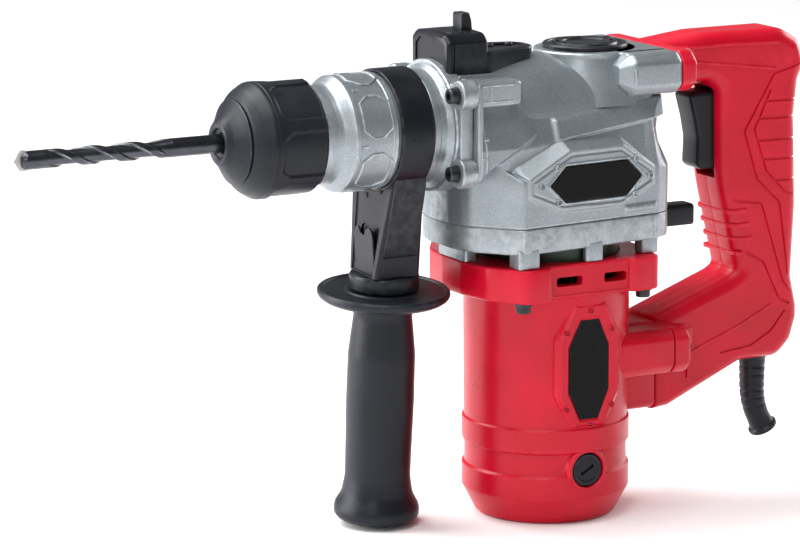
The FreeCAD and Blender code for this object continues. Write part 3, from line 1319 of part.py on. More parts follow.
# ---------------------------------------------------------------- side handle
def make_side_handle():
    inner = "(barrel_radius + free_gap)"
    outer = "(barrel_radius + free_gap + strap_thickness)"
    keep("handle_strap", lean(turned("X", [
        ("strap_front", inner), ("strap_front", outer), (strap_end, outer), (strap_end, inner)])))

    def plan(front, rear, half):
        return [(front, "-" + half), (rear, "-" + half), (rear, half), (front, half)]

    low_front = "grip_axis - bracket_floor_length / 2"
    low_rear = "grip_axis + bracket_floor_length / 2"
    block = loft("XY_Plane", plan(low_front, low_rear, "bracket_floor_half"),
                 plan("strap_front", strap_end, "bracket_top_half"), "bracket_floor", "bracket_top")
    collar = cylinder("guard_collar_radius", "bracket_floor - guard_top - free_gap",
                      ("grip_axis", "0", "guard_top + free_gap"))
    seat = cylinder(outer + " + seat_gap", "strap_width + 20", ("strap_front - 10", "0", "0"), "x")
    rod = cylinder("rod_hole_radius", "bracket_floor_length + 20",
                   (low_front + " - 10", "bracket_floor_half / 4", "rod_hole_height"), "x")
    stud_room = cylinder("stud_radius + seat_gap", "stud_top - guard_top", ("grip_axis", "0", "guard_top"))
    head_room = cylinder("stud_head_radius + seat_gap", "stud_head_height + 2 * seat_gap",
                         ("grip_axis", "0", "stud_top - stud_head_height - seat_gap"))
    keep("handle_bracket", cut(fuse([block, collar]), [seat, rod, stud_room, head_room]))
    keep("grip_stud", fuse([
        cylinder("stud_radius", "stud_top - stud_end", ("grip_axis", "0", "stud_end")),
        cylinder("stud_head_radius", "stud_head_height",
            ("grip_axis", "0", "stud_top - stud_head_height"))]))

    bore = "stud_radius + run_gap"
    nut_top = "stud_end + 12"
    body = turned("Z", [
        (bore, "guard_top"), ("guard_radius", "guard_top"), ("guard_radius", "guard_top - guard_edge"),
        ("guard_radius - 2.5", "guard_floor"), ("grip_neck_radius + 2", "guard_floor - 2"),
        ("grip_neck_radius", "guard_floor - 8"), ("grip_belly_radius", "guard_floor - 30"),
        ("grip_belly_radius", "guard_floor - 55"), ("grip_belly_radius - 0.6", "grip_end + 23"),
        ("grip_end_radius", "grip_end + 7"), ("grip_end_radius", "grip_end + 3"),
        ("grip_end_radius - 2", "grip_end"), ("0", "grip_end"), ("0", "stud_end - 3"),
        (bore, "stud_end - 3")],
        ("grip_axis", "0", "0"))
    nut_room = cylinder("nut_radius + seat_gap", "nut_height",
        ("grip_axis", "0", nut_top + " - nut_height"))
    keep("side_grip", cut(body, [nut_room]))
    nut = cylinder("nut_radius", "nut_height", ("grip_axis", "0", nut_top + " - nut_height"))
    hole = cylinder(bore, "nut_height + 2", ("grip_axis", "0", nut_top + " - nut_height - 1"))
    keep("grip_nut", cut(nut, [hole]))
    for item in pieces[-4:]:
        lean(item)


# ---------------------------------------------------------------- name plates
def gear_badge_points(margin):
    """A hexagon with its points to the front and rear, about its own centre."""
    half = "(badge_length / 2 + %s)" % margin
    high = "(badge_width / 2 + %s)" % margin
    shoulder = "(badge_length / 2 + %s - badge_point)" % margin
    return [
        ("-" + half, "0"), ("-" + shoulder, high), (shoulder, high), (half, "0"),
        (shoulder, "-" + high), ("-" + shoulder, "-" + high)]


def motor_badge_points(margin):
    """An upright hexagon with its points up and down, about its own centre."""
    half = "(motor_badge_width / 2 + %s)" % margin
    high = "(motor_badge_length / 2 + %s)" % margin
    shoulder = "(motor_badge_length / 2 + %s - badge_corner)" % margin
    return [
        ("-" + half, "-" + shoulder), ("-" + half, shoulder), ("0", high), (half, shoulder),
        (half, "-" + shoulder), ("0", "-" + high)]


def on_gear_wall(points, sunk, proud, side):
    """A plate on the tapered side wall of the gear case; side is 1 for +Y and -1 for -Y."""
    taper = "(corner_side - rear_corner_side) / (rear_corner_place - corner_place)"
    wall = "(corner_side - (badge_place - corner_place) * %s)" % taper
    ends = ("-" + sunk, proud) if side > 0 else ("-" + proud, sunk)
    plate = place(slab("XZ_Plane", points, *ends),
        ("badge_place", "%d * %s" % (side, wall), "badge_height"))
    angle = math.degrees(math.atan(size(taper)))
    plate.Placement = FreeCAD.Placement(
        plate.Placement.Base, FreeCAD.Rotation(FreeCAD.Vector(0, 0, 1), -side * angle))
    plate.setExpression("Placement.Rotation.Angle", spell("atan(%s)" % taper))
    return plate


def on_motor_wall(points, sunk, proud, side):
    """A plate on the side of the motor housing."""
    ends = ("-" + sunk, proud) if side > 0 else ("-" + proud, sunk)
    at = ("badge_place", "%d * (cup_radius - badge_proud / 2)" % side, "motor_badge_height")
    return place(slab("XZ_Plane", points, *ends), at)


def make_badges():
    sunk = "(badge_thickness - badge_proud)"
    keep("gear_badges", group([
        on_gear_wall(gear_badge_points("0"), sunk, "badge_proud", side) for side in (1, -1)]))
    keep("motor_badges", group([
        on_motor_wall(motor_badge_points("0"), sunk, "badge_proud", side) for side in (1, -1)]))


make_bit()
make_spindle()
make_sleeve()
make_front_housing()
make_gear_housing()
make_gear_cover()
make_shaft_bearings()
make_crank()
make_countershaft()
make_hammer()
make_motor_housing()
make_armature()
make_stator()
make_handle()
make_switch()
make_selectors()
make_side_handle()
make_badges()
doc.recompute()

for item in doc.Objects:
    if {"Invalid", "Error"} & set(item.State):
        raise RuntimeError("%s (%s) failed: %s" % (item.Name, item.Label, item.State))
for item in pieces:
    if item.Shape.isNull() or not item.Shape.isValid():
        raise RuntimeError("%s has no valid shape" % item.Label)
for item in pieces:
    item.Shape.exportStep("parts/%s.step" % item.Label)
    bounds = item.Shape.BoundBox
    print("%-20s %2d solids %9.0f mm3  x %.1f..%.1f  y %.1f..%.1f  z %.1f..%.1f" % (
        item.Label, len(item.Shape.Solids), item.Shape.Volume, bounds.XMin, bounds.XMax,
        bounds.YMin, bounds.YMax, bounds.ZMin, bounds.ZMax))
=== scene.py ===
# Rotary hammer with a vertical motor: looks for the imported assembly.
# Numbers in the dictionaries are millimetres and degrees, in the frame of the assembly:
# the bit points to -X, the rear handle is at +X and +Z is up.
import bpy
import json
import math
import numpy as np
from mathutils import Matrix, Vector


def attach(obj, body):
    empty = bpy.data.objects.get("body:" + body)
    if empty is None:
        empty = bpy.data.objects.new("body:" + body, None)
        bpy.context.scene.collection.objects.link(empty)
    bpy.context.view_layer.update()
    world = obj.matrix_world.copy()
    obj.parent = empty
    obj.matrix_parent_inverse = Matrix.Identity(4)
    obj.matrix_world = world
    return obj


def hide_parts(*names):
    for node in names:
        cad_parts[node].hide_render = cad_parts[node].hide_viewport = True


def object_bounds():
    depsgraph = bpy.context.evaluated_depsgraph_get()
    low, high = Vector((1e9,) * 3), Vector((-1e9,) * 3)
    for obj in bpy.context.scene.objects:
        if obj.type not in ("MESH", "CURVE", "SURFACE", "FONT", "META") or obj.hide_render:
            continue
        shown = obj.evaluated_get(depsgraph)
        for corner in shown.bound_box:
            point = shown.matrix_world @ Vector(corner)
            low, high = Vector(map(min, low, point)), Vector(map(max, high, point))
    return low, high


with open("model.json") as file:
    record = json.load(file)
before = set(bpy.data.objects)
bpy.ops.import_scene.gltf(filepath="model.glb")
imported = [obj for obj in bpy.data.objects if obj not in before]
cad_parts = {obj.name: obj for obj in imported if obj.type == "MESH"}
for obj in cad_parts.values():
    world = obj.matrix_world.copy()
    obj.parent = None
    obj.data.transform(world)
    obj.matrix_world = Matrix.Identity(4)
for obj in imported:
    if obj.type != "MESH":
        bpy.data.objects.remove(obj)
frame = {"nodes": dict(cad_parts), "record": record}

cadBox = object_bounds()
millimetre = 0.001
fullTurn = 2 * math.pi
finishes = {}          # finish name -> (material, record slot)


def outline(corners, radius=1.0, inset=0.0, steps=5, closed=True):
    # a polygon with rounded corners, counter-clockwise. Every edge moves inward by the inset, the
    # corner goes to (n1 + n2) inset / (1 + n1.n2), and an arc start + r (sin(s a) d + (1 - cos(s a)) n)
    # takes its place, where a is the turn at that corner and s runs from 0 to 1
    p = np.asarray(corners, float)
    r = np.broadcast_to(np.asarray(radius, float), (len(p),)).copy()
    if closed and np.sum(p[:, 0] * np.roll(p[:, 1], -1) - np.roll(p[:, 0], -1) * p[:, 1]) < 0:
        p, r = p[::-1], r[::-1]
    before, after = np.roll(p, 1, axis=0), np.roll(p, -1, axis=0)
    if not closed:
        before[0], after[-1] = 2 * p[0] - p[1], 2 * p[-1] - p[-2]
        r[[0, -1]] = 0
    dIn = (p - before) / np.linalg.norm(p - before, axis=1)[:, None]
    dOut = (after - p) / np.linalg.norm(after - p, axis=1)[:, None]
    nIn = np.column_stack([-dIn[:, 1], dIn[:, 0]])
    nOut = np.column_stack([-dOut[:, 1], dOut[:, 0]])
    together = np.maximum(1 + (nIn * nOut).sum(1), 0.2)
    q = p + inset * (nIn + nOut) / together[:, None]
    turned = np.arctan2(dIn[:, 0] * dOut[:, 1] - dIn[:, 1] * dOut[:, 0], (dIn * dOut).sum(1))
    side = np.where(turned < 0, -1.0, 1.0)
    half = np.maximum(np.tan(np.abs(turned) / 2), 1e-6)
    room = 0.46 * np.minimum(np.linalg.norm(q - np.roll(q, 1, axis=0), axis=1),
                             np.linalg.norm(q - np.roll(q, -1, axis=0), axis=1))
    reach = np.minimum(np.maximum(r - side * inset, 0.03) * half, room)
    if not closed:
        reach[[0, -1]] = 0
    r = reach / half
    s = np.linspace(0, 1, steps + 1)[None, :, None] * np.abs(turned)[:, None, None]
    arcs = (q - reach[:, None] * dIn)[:, None] + r[:, None, None] * (
        np.sin(s) * dIn[:, None] + side[:, None, None] * (1 - np.cos(s)) * nIn[:, None])
    points = arcs.reshape(-1, 2)
    return points if closed else points[steps:-steps]


def softEnds(low, high, edgeLow=0.6, edgeHigh=0.6, steps=4):
    # (height, inset) pairs up a wall whose two rims are quarter circles: the inset is
    # e (1 - sin a) and the height e (1 - cos a) from each end
    a = np.linspace(0, math.pi / 2, steps + 1)
    bottom = np.column_stack([low + edgeLow * (1 - np.cos(a)), edgeLow * (1 - np.sin(a))])
    top = np.column_stack([high - edgeHigh * (1 - np.cos(a)), edgeHigh * (1 - np.sin(a))])[::-1]
    return np.vstack([[(low, edgeLow + 0.35)], bottom, top, [(high, edgeHigh + 0.35)]])


def stack(corners, levels, radius=1.0, steps=5):
    # the rounded outline repeated at every (height, inset) of the levels
    return np.stack([
        np.column_stack([ring, np.full(len(ring), height)])
        for height, ring in ((h, outline(corners, radius, i, steps)) for h, i in levels)])


def slab(corners, low, high, radius=1.0, edge=0.6, edgeHigh=None, steps=5):
    return stack(corners, softEnds(low, high, edge, edge if edgeHigh is None else edgeHigh), radius, steps)


def upAlong(grid, axis):
    # the third coordinate of a grid is laid along the named axis; the first two keep their order
    u, v, h = grid[..., 0], grid[..., 1], grid[..., 2]
    return np.stack({"x": (h, u, v), "y": (u, h, v), "z": (u, v, h)}[axis], -1)


def seated(grid, origin, outward, twist=0.0):
    # (u, v, h) becomes origin + u a + v b + h n, where n is the outward direction and a is turned by the
    # twist
    n = np.asarray(outward, float) / np.linalg.norm(outward)
    first = np.cross([0, 0, 1.0] if abs(n[2]) < 0.9 else [0, 1.0, 0], n)
    first /= np.linalg.norm(first)
    second = np.cross(n, first)
    t = math.radians(twist)
    a, b = math.cos(t) * first + math.sin(t) * second, math.cos(t) * second - math.sin(t) * first
    return np.asarray(origin, float) + grid[..., :1] * a + grid[..., 1:2] * b + grid[..., 2:] * n


def lathe(profile, count=96, relief=None):
    # every (a, r) of the profile goes round the axis: (r cos t, r sin t, a). The relief adds to r(t, a)
    a, r = np.asarray(profile, float).T
    t = np.linspace(0, fullTurn, count, endpoint=False)
    tGrid, aGrid = np.meshgrid(t, a)
    rGrid = np.repeat(r[:, None], count, axis=1)
    if relief is not None:
        rGrid = rGrid + relief(tGrid, aGrid, rGrid)
    return np.stack([rGrid * np.cos(tGrid), rGrid * np.sin(tGrid), aGrid], -1)


def fine(profile, step):
    # more points along a profile, one every step
    p = np.asarray(profile, float)
    far = np.concatenate([[0], np.cumsum(np.linalg.norm(np.diff(p, axis=0), axis=1))])
    at = np.unique(np.concatenate([far, np.arange(0, far[-1], step)]))
    return np.column_stack([np.interp(at, far, p[:, i]) for i in range(p.shape[1])])


def ribbon(path, across, looped=False, up=(0, 0, 1.0), sizes=None):
    # a flat profile (u, v) carried along a path: path + u (t x up) + v up, where t is the direction of the
    # path and u is widened by 1 / cos(half the turn) so that the ribbon keeps its width round a corner
    path = np.asarray(path, float)
    ahead = np.roll(path, -1, axis=0) - path
    behind = path - np.roll(path, 1, axis=0)
    if not looped:
        ahead[-1], behind[0] = behind[-1], ahead[0]
    ahead = ahead / np.linalg.norm(ahead, axis=1)[:, None]
    behind = behind / np.linalg.norm(behind, axis=1)[:, None]
    t = ahead + behind
    t = t / np.linalg.norm(t, axis=1)[:, None]
    upward = np.broadcast_to(np.asarray(up, float), path.shape)
    upward = upward - (upward * t).sum(1)[:, None] * t
    upward = upward / np.linalg.norm(upward, axis=1)[:, None]
    side = np.cross(t, upward)
    wide = 1 / np.sqrt(np.maximum((1 + (ahead * behind).sum(1)) / 2, 0.3))
    size = np.ones(len(path)) if sizes is None else np.asarray(sizes, float)
    uv = np.asarray(across, float)
    return (path[:, None] + uv[None, :, :1] * (side * (wide * size)[:, None])[:, None]
            + uv[None, :, 1:] * (upward * size[:, None])[:, None])


def ridgeProfile(width, height, sunk=1.0, soft=0.4):
    # a low bar with two rounded upper edges, its foot sunk into the surface it stands on
    return outline([(-width / 2, -sunk), (width / 2, -sunk), (width / 2 * 0.9, height),
        (-width / 2 * 0.9, height)],
                   [0.1, 0.1, soft, soft], steps=3)


def smoothMost(a, b, k=0.6):
    # the larger of two heights with its corner rounded: (a + b + sqrt((a - b)^2 + k^2)) / 2
    return (a + b + np.sqrt((a - b) ** 2 + k * k)) / 2


def smoothLeast(a, b, k=0.6):
    return -smoothMost(-a, -b, k)


def ramp(value, low, high):
    # 3 s^2 - 2 s^3 between the two limits
    s = np.clip((value - low) / (high - low), 0, 1)
    return s * s * (3 - 2 * s)


def insidePolygon(u, v, corners):
    # least distance to the edges of a convex polygon, positive inside
    p = np.asarray(corners, float)
    if np.sum(p[:, 0] * np.roll(p[:, 1], -1) - np.roll(p[:, 0], -1) * p[:, 1]) < 0:
        p = p[::-1]
    d = np.roll(p, -1, axis=0) - p
    d /= np.linalg.norm(d, axis=1)[:, None]
    each = [(u - a[0]) * -e[1] + (v - a[1]) * e[0] for a, e in zip(p, d)]
    return np.min(each, axis=0)


def skin(grid, looped=False):
    # quads between neighbouring rows of a grid whose rows are closed rings, with a flat face over each end
    m, n = grid.shape[:2]
    index = np.arange(m * n).reshape(m, n)
    top = np.roll(index, -1, axis=0) if looped else index[1:]
    low = index if looped else index[:-1]
    quads = np.stack([low, np.roll(low, -1, axis=1), np.roll(top, -1, axis=1), top], -1).reshape(-1, 4)
    caps = [] if looped else [index[0][::-1], index[-1]]
    points = grid.reshape(-1, 3)
    a, b, c, d = (points[quads[:, i]] for i in range(4))
    volume = np.einsum("ij,ij->", a, np.cross(b, c)) + np.einsum("ij,ij->", a, np.cross(c, d))
    for cap in caps:
        fan = points[cap]
        volume += np.einsum("ij,ij->", np.broadcast_to(fan[0], fan[1:-1].shape),
            np.cross(fan[1:-1], fan[2:]))
    faces = quads.tolist() + [cap.tolist() for cap in caps]
    if volume < 0:
        faces = [face[::-1] for face in faces]
    return points, faces


def bareMesh(name, skins):
    points = np.concatenate([s[0] for s in skins])
    faces, start = [], 0
    for p, f in skins:
        faces += [[i + start for i in face] for face in f]
        start += len(p)
    mesh = bpy.data.meshes.new(name)
    mesh.from_pydata((points * millimetre).tolist(), [], faces)
    mesh.update()
    return mesh


def carved(base, tools):
    # the base skin with the tool skins taken out of it
    solid = bpy.data.objects.new("carveBase", bareMesh("carveBase", [base]))
    cutter = bpy.data.objects.new("carveTool", bareMesh("carveTool", tools))
    for item in (solid, cutter):
        bpy.context.scene.collection.objects.link(item)
    change = solid.modifiers.new("carve", "BOOLEAN")
    change.operation, change.solver, change.object = "DIFFERENCE", "EXACT", cutter
    change.use_self = len(tools) > 1
    bpy.context.view_layer.update()
    result = bpy.data.meshes.new_from_object(solid.evaluated_get(bpy.context.evaluated_depsgraph_get()))
    points = np.empty(len(result.vertices) * 3)
    result.vertices.foreach_get("co", points)
    faces = [list(face.vertices) for face in result.polygons]
    for item in (solid, cutter):
        bpy.data.objects.remove(item)
    bpy.data.meshes.remove(result)
    return points.reshape(-1, 3) / millimetre, faces


def markEdges(mesh):
    # how sharply the surface bends outward at each point, (n2 - n1).(p2 - p1) / |p2 - p1|^2 in 1/m,
    # kept as a point attribute from 0 on broad faces to 1 on edges rounder than about a millimetre; the
    # finishes use it for rubbed wear and for a painted edge highlight
    count, edgeCount = len(mesh.vertices), len(mesh.edges)
    points, normals, ends = np.empty(count * 3), np.empty(count * 3), np.empty(edgeCount * 2, int)
    mesh.vertices.foreach_get("co", points)
    mesh.vertex_normals.foreach_get("vector", normals)
    mesh.edges.foreach_get("vertices", ends)
    points, normals, ends = points.reshape(-1, 3), normals.reshape(-1, 3), ends.reshape(-1, 2)
    along = points[ends[:, 1]] - points[ends[:, 0]]
    bend = ((normals[ends[:, 1]] - normals[ends[:, 0]]) * along).sum(1) / np.maximum((along ** 2).sum(1),
        1e-10)
    bend = np.where((along ** 2).sum(1) < 4e-9, 0, bend)
    most = np.zeros(count)
    np.maximum.at(most, ends[:, 0], bend)
    np.maximum.at(most, ends[:, 1], bend)
    layer = mesh.attributes.new("edgeWearAndHighlight", "FLOAT", "POINT")
    layer.data.foreach_set("value", ramp(most, 350, 1500).astype(np.float32))


def makePiece(name, skins, body, finish, replaced=(), crisp=34):
    mesh = bareMesh(name, skins)
    mesh.polygons.foreach_set("use_smooth", np.ones(len(mesh.polygons), bool))
    mesh.set_sharp_from_angle(angle=math.radians(crisp))
    markEdges(mesh)
    material, slotName = finishes[finish]
    mesh.materials.append(material)
    piece = bpy.data.objects.new(name, mesh)
    bpy.context.scene.collection.objects.link(piece)
    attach(piece, body)
    if replaced:
        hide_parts(*replaced)
    return piece


def slottedHead(origin, outward, radius, height, slot=0.6, twist=0.0):
    # a low round head cut in two by a slot: a thin disc and two half discs standing on it
    t = np.linspace(-1, 1, 15) * math.acos(slot / 2 / radius)
    arc = np.column_stack([radius * np.cos(t), radius * np.sin(t)])
    half = stack(arc, softEnds(height * 0.3, height, 0.02, height * 0.4, 3), 0.1, 1)
    disc = lathe([(-0.6, radius * 0.98), (height * 0.45, radius * 0.98)], 28)
    return [skin(seated(g, origin, outward, twist)) for g in (disc, half,
        half * np.array([-1.0, 1.0, 1.0]))]


def socketHead(origin, outward, radius, height, socket, depth, ribs=0):
    # a cap head: a ribbed drum with a rounded rim and a six-sided hole, where a side of the hole lies at
    # r cos(30) / cos(t mod 60 - 30)
    rim = outline([(-0.5, radius), (height, radius), (height, socket)], [0, radius * 0.22, 0], steps=4,
        closed=False)
    profile = np.vstack([rim, [(height - depth, socket), (height - depth, socket * 0.3)]])

    def shapeIt(t, a, r):
        six = np.cos(math.pi / 6) / np.cos(np.mod(t, math.pi / 3) - math.pi / 6) - 1
        wave = -0.12 * (0.5 + 0.5 * np.cos(ribs * t)) * (r > radius - 0.05) * (a > 0.4)
        return np.where(r < socket + 0.01, r * six, wave if ribs else 0)
    return skin(seated(lathe(profile, 72 if ribs else 36, shapeIt), origin, outward))


def addNode(tree, kind, inputs=None, **settings):
    node = tree.nodes.new(kind)
    for key, value in settings.items():
        setattr(node, key, value)
    for key, value in (inputs or {}).items():
        if isinstance(value, bpy.types.NodeSocket):
            tree.links.new(value, node.inputs[key])
        else:
            node.inputs[key].default_value = value
    return node


def newGroup(name, numbers, results):
    group = bpy.data.node_groups.new(name, "ShaderNodeTree")
    for label, value in numbers.items():
        socket = group.interface.new_socket(name=label, in_out="INPUT", socket_type="NodeSocketFloat")
        socket.default_value = value
    for label in results:
        group.interface.new_socket(name=label, in_out="OUTPUT", socket_type="NodeSocketFloat")
    return group, group.nodes.new("NodeGroupInput").outputs, group.nodes.new("NodeGroupOutput").inputs


def makeGroups():
    # grain: small bumps of one size over slower waves, as a height and as a tone
    group, given, result = newGroup("surfaceGrain", {"Scale": 1500.0, "Waves": 60.0, "Rough": 0.6},
        ("Height", "Tone"))
    place = addNode(group, "ShaderNodeTexCoord").outputs["Object"]
    small = addNode(group, "ShaderNodeTexNoise", {"Vector": place, "Scale": given["Scale"], "Detail": 3.0,
                                                  "Roughness": given["Rough"]})
    broad = addNode(group, "ShaderNodeTexNoise", {"Vector": place, "Scale": given["Waves"], "Detail": 4.0})
    group.links.new(small.outputs["Fac"], result["Height"])
    group.links.new(broad.outputs["Fac"], result["Tone"])

    # flakes: each cell of a fine cell pattern has its own brightness as a grain tone, and the few bright
    # cells are a painted sparkle of glints
    group, given, result = newGroup("metalFlakeSparkle", {"Scale": 1100.0, "Share": 0.25}, ("FlakeSparkle", "Height"))
    place = addNode(group, "ShaderNodeTexCoord").outputs["Object"]
    cells = addNode(group, "ShaderNodeTexVoronoi", {"Vector": place, "Scale": given["Scale"]})
    own = addNode(group, "ShaderNodeSeparateColor", {"Color": cells.outputs["Color"]})
    start = addNode(group, "ShaderNodeMath", {0: 1.0, 1: given["Share"]}, operation="SUBTRACT")
    bright = addNode(group, "ShaderNodeMapRange",
        {"Value": own.outputs[0], "From Min": start.outputs[0], "From Max": 1.0})
    group.links.new(bright.outputs["Result"], result["FlakeSparkle"])
    group.links.new(own.outputs[1], result["Height"])

    # rubbed edges, which also paint an edge highlight: the edge attribute broken up by noise
    group, given, result = newGroup("rubbedEdgeAndHighlight", {"Scale": 180.0, "Amount": 0.5}, ("Mask",))
    place = addNode(group, "ShaderNodeTexCoord").outputs["Object"]
    edge = addNode(group, "ShaderNodeAttribute", attribute_name="edgeWearAndHighlight")
    patch = addNode(group, "ShaderNodeTexNoise", {"Vector": place, "Scale": given["Scale"], "Detail": 5.0})
    broken = addNode(group, "ShaderNodeMapRange",
        {"Value": patch.outputs["Fac"], "From Min": 0.38, "From Max": 0.62})
    mixed = addNode(group, "ShaderNodeMath", {0: edge.outputs["Fac"], 1: broken.outputs["Result"]},
        operation="MULTIPLY")
    amount = addNode(group, "ShaderNodeMath", {0: mixed.outputs[0], 1: given["Amount"]},
        operation="MULTIPLY")
    group.links.new(amount.outputs[0], result["Mask"])

    # dust and smudges: blotches that are stronger on faces that look up
    group, given, result = newGroup("settledDust", {"Scale": 35.0, "Amount": 0.3}, ("Dust", "Smudge"))
    place = addNode(group, "ShaderNodeTexCoord").outputs["Object"]
    facing = addNode(group, "ShaderNodeSeparateXYZ",
        {"Vector": addNode(group, "ShaderNodeNewGeometry").outputs["Normal"]})
    upward = addNode(group, "ShaderNodeMapRange",
        {"Value": facing.outputs["Z"], "From Min": -0.2, "From Max": 1.0})
    blotch = addNode(group, "ShaderNodeTexNoise",
        {"Vector": place, "Scale": given["Scale"], "Detail": 6.0, "Roughness": 0.65})
    patch = addNode(group, "ShaderNodeMapRange",
        {"Value": blotch.outputs["Fac"], "From Min": 0.42, "From Max": 0.7})
    both = addNode(group, "ShaderNodeMath", {0: patch.outputs["Result"], 1: upward.outputs["Result"]},
        operation="MULTIPLY")
    dust = addNode(group, "ShaderNodeMath", {0: both.outputs[0], 1: given["Amount"]}, operation="MULTIPLY")
    group.links.new(dust.outputs[0], result["Dust"])
    group.links.new(patch.outputs["Result"], result["Smudge"])


def useGroup(tree, name, inputs):
    node = tree.nodes.new("ShaderNodeGroup")
    node.node_tree = bpy.data.node_groups[name]
    for key, value in inputs.items():
        node.inputs[key].default_value = value
    return node.outputs


def newFinish(name, slotName, look):
    # tone, flakes with their painted sparkle, dust, and rubbed edges with their painted edge highlight are
    # laid over each other in the colour; roughness follows the tone and the smudges; the grain and the
    # flakes make the bump
    material = bpy.data.materials.new(name)
    material.use_nodes = True
    tree = material.node_tree
    shader = tree.nodes["Principled BSDF"]
    for key, value in look.get("fixed", {}).items():
        shader.inputs[key].default_value = value
    grain = useGroup(tree, "surfaceGrain", {"Scale": look["grainScale"], "Waves": look["waves"]})
    span = addNode(tree, "ShaderNodeMapRange", {"Value": grain["Tone"], "From Min": 0.3, "From Max": 0.7})
    colour = mixColours(tree, span.outputs["Result"], look["dark"], look["light"])
    height = grain["Height"]
    if "flakeSparkle" in look:
        flakeSparkle = useGroup(tree, "metalFlakeSparkle", {"Scale": look["flakeScale"], "Share": look["flakeSparkle"]})
        # the bright flake cells lighten the colour: a painted sparkle on top of the grain tone
        colour = mixColours(tree, flakeSparkle["FlakeSparkle"], colour, look["flakeSparkleColour"])
        height = addNode(tree, "ShaderNodeMath", {0: height, 1: flakeSparkle["Height"]},
            operation="ADD").outputs[0]
    dust = useGroup(tree, "settledDust", {"Scale": look["dustScale"], "Amount": look["dust"]})
    colour = mixColours(tree, dust["Dust"], colour, look["dustColour"])
    # the rubbed-edge colour lightens the sharpest edges: partly wear, partly a painted edge highlight
    rubbedAndHighlight = useGroup(tree, "rubbedEdgeAndHighlight", {"Scale": look["wearAndHighlightScale"], "Amount": look["wearAndHighlight"]})
    colour = mixColours(tree, rubbedAndHighlight["Mask"], colour, look["wearAndHighlightColour"])
    tree.links.new(colour, shader.inputs["Base Color"])
    low, high = look["rough"]
    both = addNode(tree, "ShaderNodeMath", {0: grain["Tone"], 1: dust["Smudge"]}, operation="ADD")
    rough = addNode(tree, "ShaderNodeMapRange", {"Value": both.outputs[0], "From Min": 0.3, "From Max": 1.6,
                                                 "To Min": low, "To Max": high})
    tree.links.new(rough.outputs["Result"], shader.inputs["Roughness"])
    bump = addNode(tree, "ShaderNodeBump",
        {"Height": height, "Strength": look["bump"], "Distance": look["depth"] * millimetre})
    tree.links.new(bump.outputs["Normal"], shader.inputs["Normal"])
    finishes[name] = (material, slotName)


def mixColours(tree, factor, first, second):
    node = tree.nodes.new("ShaderNodeMix")
    node.data_type = "RGBA"
    tree.links.new(factor, node.inputs[0])
    for place, value in ((6, first), (7, second)):
        if isinstance(value, bpy.types.NodeSocket):
            tree.links.new(value, node.inputs[place])
        else:
            node.inputs[place].default_value = (*value, 1.0)
    return node.outputs[2]


